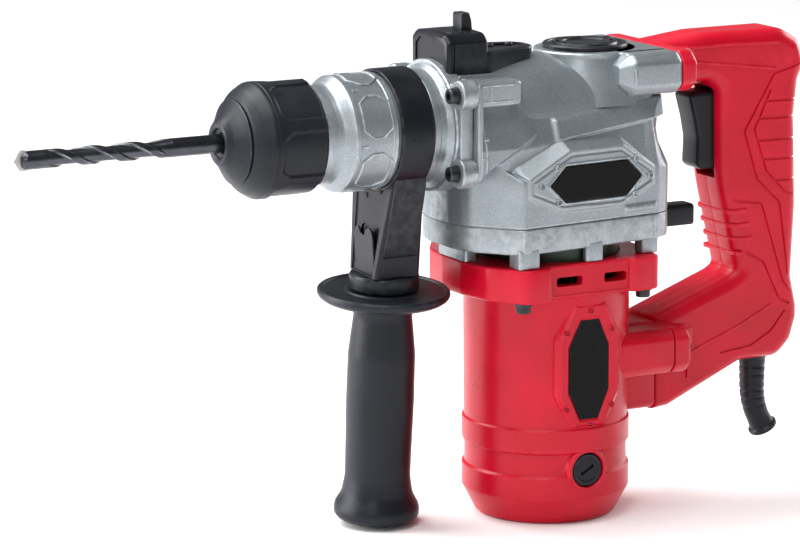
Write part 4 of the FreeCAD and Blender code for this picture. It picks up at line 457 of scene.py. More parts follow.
def makeFinishes():
    makeGroups()
    common = {"waves": 45.0, "grainScale": 1600.0, "bump": 0.25, "depth": 0.12, "dust": 0.04,
        "dustScale": 30.0,
              "dustColour": (0.55, 0.54, 0.52), "wearAndHighlight": 0.35, "wearAndHighlightScale": 220.0}
    # in each look the edge colour lightens the sharpest edges: rubbed wear and also a painted edge
    # highlight
    looks = {
        "castAluminium": ("cast_aluminium", {
            # the aluminium's flake colour is the painted sparkle of its brightest grain cells
            "dark": (0.26, 0.29, 0.315), "light": (0.32, 0.355, 0.38), "flakeSparkle": 0.16, "flakeScale": 2600.0,
            "flakeSparkleColour": (0.44, 0.475, 0.50), "rough": (0.34, 0.44), "bump": 0.35, "depth": 0.10,
            "grainScale": 2200.0,
            "wearAndHighlightColour": (0.66, 0.69, 0.71), "wearAndHighlight": 0.5, "dust": 0.04, "fixed": {"Metallic": 0.72}}),
        "redPlastic": ("red_plastic", {
            "dark": (0.50, 0.0, 0.012), "light": (0.60, 0.0, 0.022), "rough": (0.27, 0.38), "bump": 0.10,
            "depth": 0.05,
            "grainScale": 1900.0, "wearAndHighlightColour": (0.80, 0.05, 0.10), "wearAndHighlight": 0.2, "dust": 0.015,
            "fixed": {"Specular IOR Level": 0.3}}),
        "blackPlastic": ("black_plastic", {
            "dark": (0.003, 0.004, 0.0065), "light": (0.006, 0.0075, 0.012), "rough": (0.30, 0.42),
            "bump": 0.25, "depth": 0.07,
            "wearAndHighlightColour": (0.06, 0.066, 0.075), "wearAndHighlight": 0.4, "dust": 0.02,
            "fixed": {"Specular IOR Level": 0.28}}),
        "blackRubber": ("black_rubber", {
            "dark": (0.004, 0.006, 0.010), "light": (0.008, 0.0105, 0.0165), "rough": (0.36, 0.50),
            "bump": 0.30, "depth": 0.09,
            "grainScale": 1300.0, "wearAndHighlightColour": (0.06, 0.07, 0.085), "wearAndHighlight": 0.35, "dust": 0.02,
            "fixed": {"Specular IOR Level": 0.28}}),
        "blackGloss": ("black_gloss", {
            "dark": (0.0012, 0.0012, 0.0014), "light": (0.002, 0.002, 0.0024), "rough": (0.24, 0.32),
            "bump": 0.04, "depth": 0.02,
            "wearAndHighlightColour": (0.05, 0.05, 0.055), "wearAndHighlight": 0.3, "dust": 0.004,
            "fixed": {"Specular IOR Level": 0.12}}),
        "darkSteel": ("dark_steel", {
            "dark": (0.010, 0.0105, 0.013), "light": (0.024, 0.025, 0.030), "rough": (0.30, 0.42),
            "bump": 0.15, "depth": 0.06,
            "wearAndHighlightColour": (0.16, 0.165, 0.18), "wearAndHighlight": 0.4, "dust": 0.02, "fixed": {"Metallic": 0.5}}),
        "groundSteel": ("steel", {
            "dark": (0.055, 0.058, 0.066), "light": (0.10, 0.105, 0.118), "rough": (0.26, 0.38),
            "bump": 0.12, "depth": 0.05,
            "grainScale": 900.0, "wearAndHighlightColour": (0.5, 0.51, 0.53), "wearAndHighlight": 0.6, "fixed": {"Metallic": 1.0}}),
        "brightSteel": ("steel", {
            "dark": (0.42, 0.43, 0.45), "light": (0.58, 0.59, 0.61), "rough": (0.20, 0.34), "bump": 0.10,
            "depth": 0.04,
            "wearAndHighlightColour": (0.85, 0.85, 0.86), "fixed": {"Metallic": 1.0}}),
        "carbideGrey": ("carbide", {
            "dark": (0.42, 0.41, 0.42), "light": (0.62, 0.60, 0.60), "rough": (0.34, 0.48), "bump": 0.4,
            "depth": 0.06,
            "wearAndHighlightColour": (0.9, 0.86, 0.78), "wearAndHighlight": 0.7, "fixed": {"Metallic": 0.75}}),
        "greenPlastic": ("green_plastic", {
            "dark": (0.004, 0.022, 0.008), "light": (0.006, 0.045, 0.014), "rough": (0.35, 0.5),
            "wearAndHighlightColour": (0.05, 0.16, 0.06),
            "fixed": {}}),
        "enamelCopper": ("copper", {
            "dark": (0.42, 0.15, 0.05), "light": (0.70, 0.30, 0.13), "rough": (0.2, 0.4), "waves": 400.0,
            "bump": 0.4,
            "wearAndHighlightColour": (0.9, 0.6, 0.4), "fixed": {"Metallic": 0.9, "Coat Weight": 0.4}}),
        "drawnBrass": ("brass", {
            "dark": (0.50, 0.34, 0.12), "light": (0.70, 0.52, 0.22), "rough": (0.2, 0.35),
            "wearAndHighlightColour": (0.9, 0.8, 0.5),
            "fixed": {"Metallic": 1.0}}),
        "pressedCarbon": ("carbon", {
            "dark": (0.02, 0.02, 0.02), "light": (0.06, 0.06, 0.06), "rough": (0.45, 0.6), "bump": 0.5,
            "wearAndHighlightColour": (0.2, 0.2, 0.2), "fixed": {}}),
    }
    for name, (slotName, look) in looks.items():
        newFinish(name, slotName, {**common, **look})
    # the nodes that stay as the assembly has them take the finish of their own slot
    bySlot = {slotName: name for name, (material, slotName) in finishes.items() if name != "groundSteel"}
    for part in frame["record"]["subparts"]:
        node = frame["nodes"][part["node"]]
        for place in node.material_slots:
            place.material = finishes[bySlot[part["material_slot"]]][0]


makeFinishes()
print("finishes made:", len(finishes))


stageLook = {
    "lens": 180.0, "cameraAt": (-0.9124, -1.8568, 0.3449),
    "right": (0.87715, -0.48022, 0.0), "up": (0.09492, 0.17338, 0.98027),
    "forward": (0.47075, 0.85984, -0.19766),
    "floorSize": 9.0, "floorColour": (0.93, 0.93, 0.935), "skyColour": (1.0, 1.0, 1.0), "skyStrength": 0.20,
    "sun": 3.0, "sunFrom": (-0.45, 0.55, 1.0), "sunAngle": 40.0,
    # name, place, watts, size, colour
    "panels": [("leftRearPanel", (-1.5, 0.9, 0.35), 46.0, 1.3, (1.0, 0.98, 1.0)),
               ("topPanel", (-0.35, -0.35, 1.3), 15.0, 0.9, (1.0, 1.0, 1.0)),
               ("frontPanel", (-1.6, -1.9, 1.0), 11.0, 0.7, (1.0, 1.0, 1.0)),
               ("rightPanel", (1.6, 0.3, 0.35), 16.0, 0.8, (1.0, 0.99, 0.98))],
}


def makeStage():
    camera = bpy.data.objects.new("mainCamera", bpy.data.cameras.new("mainCamera"))
    bpy.context.scene.collection.objects.link(camera)
    axes = Matrix([stageLook["right"], stageLook["up"], [-c for c in stageLook["forward"]]]).transposed()
    camera.matrix_world = Matrix.Translation(stageLook["cameraAt"]) @ axes.to_4x4()
    camera.data.lens, camera.data.sensor_width = stageLook["lens"], 36.0
    camera.data.clip_start, camera.data.clip_end = 0.05, 30.0
    bpy.context.scene.camera = camera

    half = stageLook["floorSize"] / 2
    low = cadBox[0].z
    mesh = bpy.data.meshes.new("floor")
    mesh.from_pydata([(-half, -half, low), (half, -half, low), (half, half, low), (-half, half, low)], [],
        [(0, 1, 2, 3)])
    floor = bpy.data.objects.new("floor", mesh)
    bpy.context.scene.collection.objects.link(floor)
    paper = bpy.data.materials.new("palePaper")
    paper.use_nodes = True
    tree = paper.node_tree
    grain = useGroup(tree, "surfaceGrain", {"Scale": 220.0, "Waves": 3.0})
    shade = stageLook["floorColour"]
    colour = mixColours(tree, grain["Tone"], tuple(c * 0.99 for c in shade), shade)
    tree.links.new(colour, tree.nodes["Principled BSDF"].inputs["Base Color"])
    tree.nodes["Principled BSDF"].inputs["Roughness"].default_value = 0.8
    mesh.materials.append(paper)

    world = bpy.data.worlds.new("paleRoom")
    bpy.context.scene.world = world
    world.use_nodes = True
    world.node_tree.nodes["Background"].inputs["Color"].default_value = (*stageLook["skyColour"], 1.0)
    world.node_tree.nodes["Background"].inputs["Strength"].default_value = stageLook["skyStrength"]

    bpy.context.scene.view_settings.view_transform = "Standard"     # white paper stays white

    middle = Vector((0.16, 0.0, -0.06))
    sun = bpy.data.lights.new("skylight", "SUN")
    sun.energy, sun.angle = stageLook["sun"], math.radians(stageLook["sunAngle"])
    lamps = [(sun, Vector(stageLook["sunFrom"]))]
    for name, place, power, size, tint in stageLook["panels"]:
        lamp = bpy.data.lights.new(name, "AREA")
        lamp.energy, lamp.size, lamp.color = power, size, tint
        lamps.append((lamp, Vector(place)))
    for lamp, place in lamps:
        holder = bpy.data.objects.new(lamp.name, lamp)
        bpy.context.scene.collection.objects.link(holder)
        holder.location = place
        holder.rotation_mode = "QUATERNION"
        aim = middle - place if lamp.type == "AREA" else -place
        holder.rotation_quaternion = aim.to_track_quat("-Z", "Y")
        holder.visible_camera = False


makeStage()
print("camera, floor and lamps made")


bit = {"radius": 5.0, "land": 4.9, "core": 3.7, "head": -114.0, "fluteEnd": -35.0, "end": 40.0,
    "lead": 44.0,
       "landHalf": 27.0, "grooveFront": 18.0, "grooveEnd": 34.0, "grooveRadius": 3.6, "grooveOffset": 7.0,
       "tip": [(-121, 0), (-118.4, 4.4), (-117.2, 5.35), (-113.4, 5.35), (-113.4, -5.35), (-117.2, -5.35),
       (-118.4, -4.4)],
       "tipHalf": 1.2, "cap": -116.6}


def makeBit():
    b = bit
    span = np.concatenate([np.arange(b["head"], b["fluteEnd"] + 8, 0.55),
        np.arange(b["fluteEnd"] + 8.5, b["end"] - 1, 2.0)])
    profile = [(b["cap"], 3.2),
        (b["head"] - 0.9, 4.5)] + [(a, b["radius"]) for a in span] + [(b["end"], b["radius"] - 1)]

    def shapeIt(t, a, r):
        # two lands wind round the core: the angle from the nearest land's middle is ((t - 2 pi x / lead)
        # mod pi), and the radius goes from the core's to the land's over a few degrees
        turned = np.mod(t - fullTurn * a / b["lead"] + math.pi / 2, math.pi) - math.pi / 2
        half = math.radians(b["landHalf"])
        land = ramp(half - np.abs(turned), -0.16, 0.02)
        wound = b["core"] + (b["land"] - b["core"]) * land
        run = ramp(a, b["head"] + 9, b["head"] + 18) * ramp(-a, -b["fluteEnd"] - 4, -b["fluteEnd"] + 8)
        bare = np.where(a < b["fluteEnd"] + 2, b["land"], b["radius"])
        new = bare + (wound - bare) * run
        # two round grooves for the balls, where a circle off the axis cuts the shank
        away = b["grooveOffset"] * np.abs(np.sin(t))
        inside = b["grooveRadius"] ** 2 - (b["grooveOffset"] * np.cos(t)) ** 2
        groove = np.where(inside > 0, away - np.sqrt(np.maximum(inside, 0)), 99.0)
        deep = ramp(a, b["grooveFront"], b["grooveFront"] + 2) * ramp(-a, -b["grooveEnd"],
            -b["grooveEnd"] + 2)
        new = new + (np.minimum(new, groove) - new) * deep
        return np.where((a >= b["head"] - 0.01) & (a < b["end"] - 0.5), new - r, 0)
    makePiece("drill_bit_fluted", [skin(upAlong(lathe(profile, 120, shapeIt), "x"))], "bit", "groundSteel",
        ["drill_bit"], 50)
    tip = slab(b["tip"], -b["tipHalf"], b["tipHalf"], 0.5, 0.35, steps=3)
    makePiece("carbide_tip_ground", [skin(upAlong(tip, "y"))], "bit", "carbideGrey", ["carbide_tip"])


chuck = {"front": -5.0, "bore": 5.4, "panels": 6, "panelFront": 20.0, "panelDepth": 1.25, "scoops": 4,
    "seam": 16.6}


def makeChuck():
    c = chuck
    nose = outline([(3.5, c["bore"]), (-2.2, c["bore"]), (-2.6, 7.6), (-4.4, 8.2), (-5.0, 9.6),
        (-4.7, 11.3), (-2.0, 14.2),
                    (3.4, 21.9), (4.0, 23.0), (4.7, 22.6), (4.7, 15.3), (8.9, 15.3), (8.9, c["bore"])],
                   [0.3, 0.8, 0.8, 0.8, 1.0, 1.2, 6, 1.0, 0.6, 0.3, 0.3, 0.3, 0.3], steps=5, closed=False)
    nose = fine(nose, 0.8)

    def scoop(t, a, r):
        # shallow hollows round the cone, deepest half way along it
        around = ramp(np.cos(c["scoops"] * (t - 0.9)), -0.2, 0.9)
        return -0.5 * around * ramp(r, 11.8, 15.5) * ramp(-r, -21.6, -17.5) * (a < 4.4)
    makePiece("dust_cap_lipped", [skin(upAlong(lathe(nose, 160, scoop), "x"), looped=True)], "sleeve",
        "blackRubber", ["dust_cap"])

    skirt = outline([(5.1, 16.0), (5.1, 22.6), (6.0, 24.2), (9.2, 27.9), (14.6, 31.0),
        (c["seam"] - 0.5, 31.2), (c["seam"], 30.7),
                     (c["seam"] + 0.5, 31.2), (44.4, 31.2), (46.4, 29.2), (46.5, 28.1), (26, 28),
                     (26, 13.1), (14, 13.1), (14, 16.0)],
                    [0.2, 0.6, 1.5, 9, 4, 0.2, 0.2, 0.2, 0.8, 0.8, 0.3, 0.3, 0.3, 0.3, 0.3], steps=5,
                    closed=False)
    skirt = fine(skirt, 0.55)

    def panels(t, a, r):
        # wide flats sunk into the drum between ribs; the front corners of each are cut off at a slant
        local = np.abs(np.mod(t + 0.36, fullTurn / c["panels"]) - fullTurn / c["panels"] / 2)
        half = np.radians(17.0 + 7.0 * np.clip((a - c["panelFront"]) / 5.0, 0, 1))
        sunk = ramp(half - local, -0.006, 0.035) * ramp(a, c["panelFront"] - 0.9, c["panelFront"] + 0.5)
        return np.where(r > 28.6, -c["panelDepth"] * sunk * (a > c["panelFront"] - 1), 0)
    makePiece("chuck_sleeve_ribbed", [skin(upAlong(lathe(skirt, 300, panels), "x"), looped=True)],
        "sleeve", "blackRubber",
              ["chuck_sleeve"])


barrel = {"radius": 31.0, "lugs": [(36, 21), (36, -21), (-36, 21), (-36, -21)],
          "lugRadius": 8.0, "front": 119.0, "end": 128.0, "frames": 6, "frameAt": 75.0, "frameHalf": 8.6,
          "frameAngle": 22.0,
          "frameWidth": 1.3, "frameHeight": 0.85}


def makeBarrel():
    b = barrel
    wall = outline([(45, 18.0), (45, 25.9), (45.6, 26.5), (53.5, 26.5), (56.5, 27.0), (60.6, 30.4),
        (62.0, 31.3), (64.2, 31.3),
                    (64.8, 31.0), (83.4, 31.0), (84.0, 31.5), (86.4, 31.5), (87.2, 30.8), (108.6, 30.8),
                    (109.2, 31.2), (112.0, 31.2),
                    (112.6, 31.0), (116.0, 31.2), (119.0, 33.6), (119.0, 35.4), (119.7, 36.0),
                    (127.9, 36.0), (127.9, 26.2),
                    (75, 26.2), (75, 18.6), (45, 18.4)],
                   [0.2, 0.4, 0.6, 3, 4, 3, 0.8, 0.4, 0.4, 0.4, 0.4, 0.5, 0.3, 0.3, 0.3, 0.3, 1.5, 2.5,
                   0.4, 0.4, 0.5, 0.3, 0.3, 0.3, 0.3, 0.3],
                   steps=5, closed=False)
    skins = [skin(upAlong(lathe(wall, 200), "x"), looped=True)]
    plate = slab([(-38, -26), (38, -26), (38, 26), (-38, 26)], b["front"] + 1.2, b["end"] - 0.1, 6, 1.0)
    skins.append(skin(upAlong(plate, "x")))
    for y, z in b["lugs"]:
        ear = lathe(outline([(b["front"], 4.0), (b["front"], b["lugRadius"]),
            (b["end"] - 0.1, b["lugRadius"]), (b["end"] - 0.1, 4.0)],
                            [0.1, 1.0, 0.3, 0.1], closed=False), 40)
        skins.append(skin(upAlong(ear + np.array([y, z, 0.0]), "x")))
    # six-sided raised frames round the drum: a flat closed path bent round it, (x, r sin t, r cos t)
    half, angle = b["frameHalf"], b["frameAngle"]
    flat = outline([(-half, -angle * 0.62), (-half * 0.35, -angle), (half * 0.35, -angle),
        (half, -angle * 0.62),
                    (half, angle * 0.62), (half * 0.35, angle), (-half * 0.35, angle),
                    (-half, angle * 0.62)], 1.5, steps=4)
    flat = fine(np.vstack([flat, flat[:1]]), 1.2)[:-1]
    across = ridgeProfile(b["frameWidth"], b["frameHeight"], 0.8, 0.35)
    for k in range(b["frames"]):
        t = np.radians(flat[:, 1] + k * 360 / b["frames"] - 66)
        out = np.column_stack([np.zeros(len(t)), np.sin(t), np.cos(t)])
        path = np.column_stack([b["frameAt"] + flat[:, 0], b["radius"] * out[:, 1],
            b["radius"] * out[:, 2]])
        skins.append(skin(ribbon(path, across, True, out), looped=True))
        # a short rib between each two frames
        turn = math.radians(k * 360 / b["frames"] - 36)
        n = np.array([0, math.sin(turn), math.cos(turn)])
        rib = np.array([[65.5, 0, 0], [67.2, 0, 0], [68.8, 0, 0]]) + n * b["radius"]
        skins.append(skin(ribbon(rib, ridgeProfile(1.6, 0.7, 0.8), False, n)))
    makePiece("front_housing_cast", skins, "tool", "castAluminium", ["front_housing"])
    heads = [socketHead((b["front"], y, z), (-1, 0, 0), 4.25, 5.5, 2.1, 3.0, 18) for y, z in b["lugs"]]
    washers = [skin(seated(lathe([(-0.4, 4.7), (0.7, 4.7)], 36), (b["front"], y, z), (-1, 0, 0))) for y,
        z in b["lugs"]]
    makePiece("barrel_screws_capped", heads + washers, "tool", "darkSteel", ["barrel_screws"])


gearCase = {
    "planX": [128.0, 129.5, 133.0, 139.0, 144.0, 149.0, 153.0, 243.0, 250.0, 255.5, 258.0],
    "planY": [10.0, 18.0, 27.5, 34.0, 40.5, 46.8, 50.0, 41.0, 37.0, 30.0, 19.5],
    "crownX": [128.0, 134.0, 143.0, 234.0, 242.0, 246.5, 249.0, 250.0],
    "crownY": [12.0, 28.0, 36.0, 36.0, 33.0, 27.0, 17.0, 0.4],
    "floor": -52.5, "bend": -27.0, "slopeTop": 4.0, "fieldTop": 15.0, "radius": 35.2,
    "blockSide": 43.0, "facetFrom": (139.5, -17.0), "facetTo": (175.0, 2.7), "facetWide": 11.6,
    "island": [(155.6, -25.4), (182.2, -12.0), (217.4, -12.0), (238.6, -26.0), (238.6, -34.5),
    (217.0, -44.8), (177.0, -44.0), (155.6, -35.0)],
    "badgeAt": (200.0, -30.0),
    "badge": [(-30.5, 0), (-20.5, 9.5), (20.5, 9.5), (30.5, 0), (20.5, -9.5), (-20.5, -9.5)],
    "rivets": [(163.2, -30.0), (174.0, -20.3), (174.8, -39.3), (236.0, -30.3), (226.2, -20.2),
    (225.6, -39.6)],
    "spine": 219.5, "bosses": (32.0, 24.5), "bossFront": 225.0,
}


def wallPlan(x):
    # distance of the side wall from the middle plane, with its corners rounded by a short running mean
    return np.mean([np.interp(x + shift, gearCase["planX"], gearCase["planY"]) for shift in (-0.9, -0.3,
        0.3, 0.9)], axis=0)


def caseSide(x, z):
    # the side of the case as a height over its middle plane: the larger and smaller of slanted planes, each
    # corner rounded - wall, slope, front block with its facet and strip, band, frame of the plate, lower
    # bar
    g = gearCase
    low, high = -7.6 + (x - 179) * 0.115, 2.7 + (x - 175) * 0.11
    strip = ramp(z, low - 0.8, low + 0.8) * ramp(-z, -high - 3.0, -high + 0.5) * ramp(x, 176, 180)
    plan = wallPlan(x)
    crown = np.interp(x - 6.0 * strip, g["crownX"], g["crownY"])
    # above the slope the wall follows the round crown, and sinks into it at the top
    crown = np.minimum(crown, np.sqrt((35.7 - 0.06 * np.maximum(z, 0)) ** 2 - np.maximum(z, 0) ** 2))
    up = (z - g["bend"]) / (g["slopeTop"] - g["bend"])
    base = smoothLeast(plan, plan + (crown - plan) * up, 1.0)
    # diagonal coordinate across the facet, 0 on its upper edge
    (ax, az), (bx, bz) = g["facetFrom"], g["facetTo"]
    long = math.hypot(bx - ax, bz - az)
    ex, ez = (bx - ax) / long, (bz - az) / long
    across = (x - ax) * ez - (z - az) * ex
    away = (x - ax) * ex + (z - az) * ez
    lower = z - (az - 0.56 * (x - ax))
    valley = np.where(across < g["facetWide"], g["blockSide"] - 0.2 * across - 0.5,
                      g["blockSide"] - 0.2 * g["facetWide"] - 0.5 + (across - g["facetWide"]) * 1.6)
    deep = ramp(lower, -1.6, 0.4) * ramp(-away, -long - 9, -long + 2) * ramp(across, -3, 0)
    base = base + (smoothLeast(base, valley, 0.8) - base) * deep
    edge = np.interp(x, [128, 133, 137, 139.5], [-24.3, -24.3, -21.5, -17.0])
    flank = g["blockSide"] - 0.42 * np.maximum(z + 9, 0) - 1.3 * np.maximum(across,
        0) - 4.0 * np.maximum(edge - z, 0)
    flank = flank - 0.35 * np.maximum(x - 157, 0) * ramp(z, -8, 4)
    flank = np.where(x < 129.5, flank - (129.5 - x) * 2, flank)
    base = smoothMost(base, np.where((across < 9) & (x < 182), flank, 0), 0.9)
    # band along the upper wall with a rounded nose at the rear
    base = base + 2.0 * strip * ramp(-x, -255, -249)
    # the raised frame round the plate, with a second low line beside its upright edge
    inside = insidePolygon(x, z, g["island"])
    island = plan + 0.95 + 1.5 * np.minimum(inside, 0)
    base = smoothMost(base, island, 0.5)
    base = base - 0.55 * ramp(0.8 - np.abs(inside - 2.6), 0, 0.5) * (inside > 0)
    hexagon = insidePolygon(x - g["badgeAt"][0], z - g["badgeAt"][1], g["badge"])
    rim = 0.35 * ramp(hexagon, -2.2, -1.6)
    base = base + rim
    base = base - 2.0 * ramp(hexagon, -0.75, -0.2)
    # bar at the lower rear and two thin lines on the front block
    bar = insidePolygon(x, z, [(220, -49.2), (240.5, -49.0), (240.5, -46.0), (220, -46.2)])
    base = smoothMost(base, plan - 0.2 + 1.5 * ramp(bar, -0.8, 0.6) + 4 * np.minimum(bar + 0.8, 0), 0.3)
    for line in (130.6, 133.6):
        base = base + 0.5 * ramp(0.7 - np.abs(x - line), 0, 0.5) * ramp(z, -23.5, -22) * ramp(-z, -12, -10)
    # the floor's rounded rim
    return base - 1.0 * ramp(-z, -g["floor"] - 0.9, -g["floor"])


def makeGearCase():
    g = gearCase
    x = np.concatenate([np.arange(128.05, 134, 0.3), np.arange(134, 249, 0.62),
        np.arange(249, 258.0, 0.35)])
    z = np.concatenate([np.linspace(g["floor"], g["floor"] + 1.2, 5),
        np.arange(g["floor"] + 1.6, g["fieldTop"], 0.5)])
    xGrid, zGrid = np.meshgrid(x, z, indexing="ij")
    field = np.stack([xGrid, caseSide(xGrid, zGrid), zGrid], -1)
    back = np.stack([np.stack([x, np.zeros_like(x), np.full_like(x, h)], -1) for h in (g["fieldTop"],
        g["floor"])], 1)
    side = np.concatenate([field, back], 1)
    makePiece("gear_wall_right", [skin(side)], "tool", "castAluminium", crisp=60)
    makePiece("gear_wall_left", [skin(side * np.array([1.0, -1.0, 1.0]))], "tool", "castAluminium",
        crisp=60)

    crown = outline([(128.1, 20), (128.1, 34.6), (128.7, 35.2), (242, 35.2), (249, 28.5), (249, 12)],
        [0.2, 0.6, 0.6, 7, 4, 0.2],
                    closed=False, steps=7)
    skins = [skin(upAlong(lathe(fine(crown, 3.0), 180), "x"))]
    # face plate and its shoulders
    skins.append(skin(upAlong(slab([(-43, -26.8), (43, -26.8), (43, 27.8), (-43, 27.8)], 128.1, 131.5, 4,
        1.2), "x")))
    for sign in (1, -1):
        shoulder = np.array([(30, 14.5), (41.6, 14.5), (42, 16), (42, 26.5), (40, 28), (20, 28),
            (20, 14.5)]) * [sign, 1]
        rows = stack(shoulder, [(128.2, 0), (150.6, 0), (153.6, 0.3), (155.8, 1.6), (157.0, 3.6)], 1.6)
        skins.append(skin(upAlong(rows, "x")))
        # sunk middle of the shoulder, drawn by its raised border
        rail = ridgeProfile(1.2, 0.6, 0.6)
        for height in (17.0, 25.6):
            path = np.array([[131.0, 41.8 * sign, height], [150.0, 41.8 * sign, height]])
            skins.append(skin(ribbon(path, rail, False, (0, sign, 0))))
        skins.append(skin(ribbon(np.array([[136.5, 41.8 * sign, 17.5], [136.5, 41.8 * sign, 25.0]]), rail,
            False, (0, sign, 0))))
        # rear boss: round at the front, squarer with flats towards the handle, with a chamfered front end
        y, height = g["bosses"]
        corners = np.array([(-11.5, 0), (-11.5, 7.5), (-7, 11.5), (6.5, 11.5), (11.5, 6.5), (11.5, -6.5),
            (7.0, -11.5), (-7, -11.5), (-11.5, -7)])
        corners = corners * [sign, 1] + np.array([y * sign, height])
        rows = stack(corners,
            [(g["bossFront"] - 6, 6.5), (g["bossFront"] - 2.6, 3.2), (g["bossFront"], 1.2),
            (g["bossFront"] + 1.6, 0.3),
                               (g["bossFront"] + 3, 0), (252.8, 0), (254.6, 0.3), (255.9, 1.4)], 4.5, 6)
        skins.append(skin(upAlong(rows, "x")))
        collar = lathe([(g["bossFront"] + 0.2, 9.0), (g["bossFront"] + 0.2, 11.3),
            (g["bossFront"] + 0.9, 11.9), (g["bossFront"] + 1.6, 11.9),
                        (g["bossFront"] + 2.2, 11.2), (g["bossFront"] + 2.2, 9)], 48)
        skins.append(skin(upAlong(collar + np.array([y * sign, height - 0.5, 0.0]), "x")))
    # plate between the bosses, and the wall under it
    skins.append(skin(slab([(224, -31), (255.4, -31), (255.4, 31), (224, 31)], 30, 36, 2, 0.8, 1.4)))
    skins.append(skin(slab([(238, -27), (249, -27), (249, 27), (238, 27)], -4, 32, 3, 0.6)))
    # grease boss: a wide drum that grows out of the crown
    boss = outline([(8, 37), (18, 33.5), (27, 30), (33, 28.5), (35.2, 28.5), (36, 27.7), (36, 18.2)],
        [0.2, 12, 10, 3, 0.7, 0.7, 0.2], closed=False)
    skins.append(skin(lathe(boss, 140) + np.array([g["spine"], 0, 0])))
    # short ribs from the face plate back along the front block
    for sign in (1, -1):
        for height in (-13.0, -3.0):
            path = np.array([[131.0, 42.8 * sign, height], [134.5, 42.6 * sign, height]])
            skins.append(skin(ribbon(path, ridgeProfile(1.4, 0.5, 0.6), False, (0, sign, 0))))
    makePiece("gear_crown_cast", skins, "tool", "castAluminium", ["gear_housing"])

    rivets, plates = [], []
    slant = math.atan2(9.0, 90.0)
    for sign in (1, -1):
        out = np.array([math.sin(slant), sign * math.cos(slant), 0])
        for k, (rx, rz) in enumerate(g["rivets"]):
            at = (rx, sign * (float(wallPlan(np.array(rx))) + 0.9), rz)
            rivets += slottedHead(at, out, 1.9, 0.9, 0.6, 20 + 47 * k)
        place = (g["badgeAt"][0], sign * (float(wallPlan(np.array(g["badgeAt"][0]))) - 1.1),
            g["badgeAt"][1])
        plate = slab(g["badge"], 0, 1.75, 0.8, 0.1, 0.3)
        plates.append(skin(seated(plate, place, out)))
    makePiece("case_rivets", rivets, "tool", "castAluminium")
    makePiece("gear_plate_blank", plates, "tool", "blackGloss", ["gear_badges"])

    cap = outline([(33.0, 18.0), (36.05, 18.8), (36.05, 22.9), (36.4, 23.4), (38.0, 23.4), (38.8, 22.6),
        (38.8, 20.6), (38.1, 20.2),
                   (38.1, 18.2), (39.4, 17.4), (39.4, 12.4), (38.5, 11.8), (38.5, 2.0)],
                  [0.2, 0.2, 0.4, 0.4, 0.6, 0.5, 0.3, 0.3, 0.3, 0.4, 0.5, 0.3, 0.2], closed=False, steps=4)
    base = skin(lathe(fine(cap, 0.9), 144) + np.array([g["spine"], 0, 0]))
    holes = []
    for k in range(6):
        t = k * math.pi / 3 + 0.2
        pin = lathe([(38.2, 1.25), (41, 1.25)], 20)
        holes.append(skin(pin + np.array([g["spine"] + 15 * math.cos(t), 15 * math.sin(t), 0])))
        pocket = slab([(-3.0, -0.9), (3.0, -0.9), (3.0, 0.9), (-3.0, 0.9)], 38.2, 41, 0.8, 0.05, steps=3)
        c, s = math.cos(t + 0.52), math.sin(t + 0.52)
        spun = np.stack([pocket[..., 0] * -s - pocket[..., 1] * c, pocket[..., 0] * c - pocket[..., 1] * s,
            pocket[..., 2]], -1)
        holes.append(skin(spun + np.array([g["spine"] + 15 * c, 15 * s, 0])))
    makePiece("grease_cap_ringed", [carved(base, holes)], "tool", "blackPlastic", ["grease_cap"], 30)


cover = {"top": -52.55, "floor": -66.0, "legFloor": -74.2,
         "legs": [((150.0, 37.5), (163.0, 49.6)), ((194.0, 41.0), (205.0, 45.7)),
         ((233.0, 31.0), (243.5, 40.2))],
         "front": [(136.0, -15.0), (143.5, -15.0), (143.5, 15.0), (136.0, 15.0)]}


def planCurve(inset):
    # the case's plan as one closed curve, each point moved inward along the curve's own normal
    x = np.concatenate([np.arange(128.0, 134, 0.4), np.arange(134, 249, 1.5), np.arange(249, 258.01, 0.4)])
    y = wallPlan(x)
    ring = np.vstack([np.column_stack([x, -y]), np.column_stack([x, y])[::-1]])
    step = np.roll(ring, -1, axis=0) - np.roll(ring, 1, axis=0)
    step /= np.linalg.norm(step, axis=1)[:, None]
    return ring + inset * np.column_stack([-step[:, 1], step[:, 0]])


def makeCover():
    c = cover
    levels = softEnds(c["floor"], c["top"], 0.9, 0.7)
    plate = np.stack([np.column_stack([ring, np.full(len(ring), h)]) for h,
        ring in ((h, planCurve(i)) for h, i in levels)])
    skins = [skin(plate)]
    lip = np.stack([np.column_stack([ring, np.full(len(ring), h)])
                    for h, ring in ((h, planCurve(i)) for h, i in ((-66.6, 2.4), (-65.0, 1.8)))])
    skins.append(skin(lip))
    for (x0, y0), (x1, y1) in c["legs"]:
        for sign in (1, -1):
            leg = slab([(x0, y0 * sign), (x1, y0 * sign), (x1, y1 * sign), (x0, y1 * sign)], c["legFloor"],
                c["floor"] + 2, 1.6, 0.9, 0.1)
            skins.append(skin(leg))
    skins.append(skin(slab(c["front"], c["legFloor"], c["floor"] + 2, 1.5, 0.8, 0.1)))
    # upright ribs on the cover under the case's corner lines
    for sign in (1, -1):
        for x in (153.0, 240.0):
            y = float(wallPlan(np.array(x))) * sign
            skins.append(skin(ribbon(np.array([[x, y, c["floor"] + 1], [x, y, c["top"] - 1.2]]),
                ridgeProfile(1.4, 0.35, 0.8), False, (0.25, sign, 0))))
    makePiece("gear_cover_cast", skins, "tool", "castAluminium", ["gear_cover"])


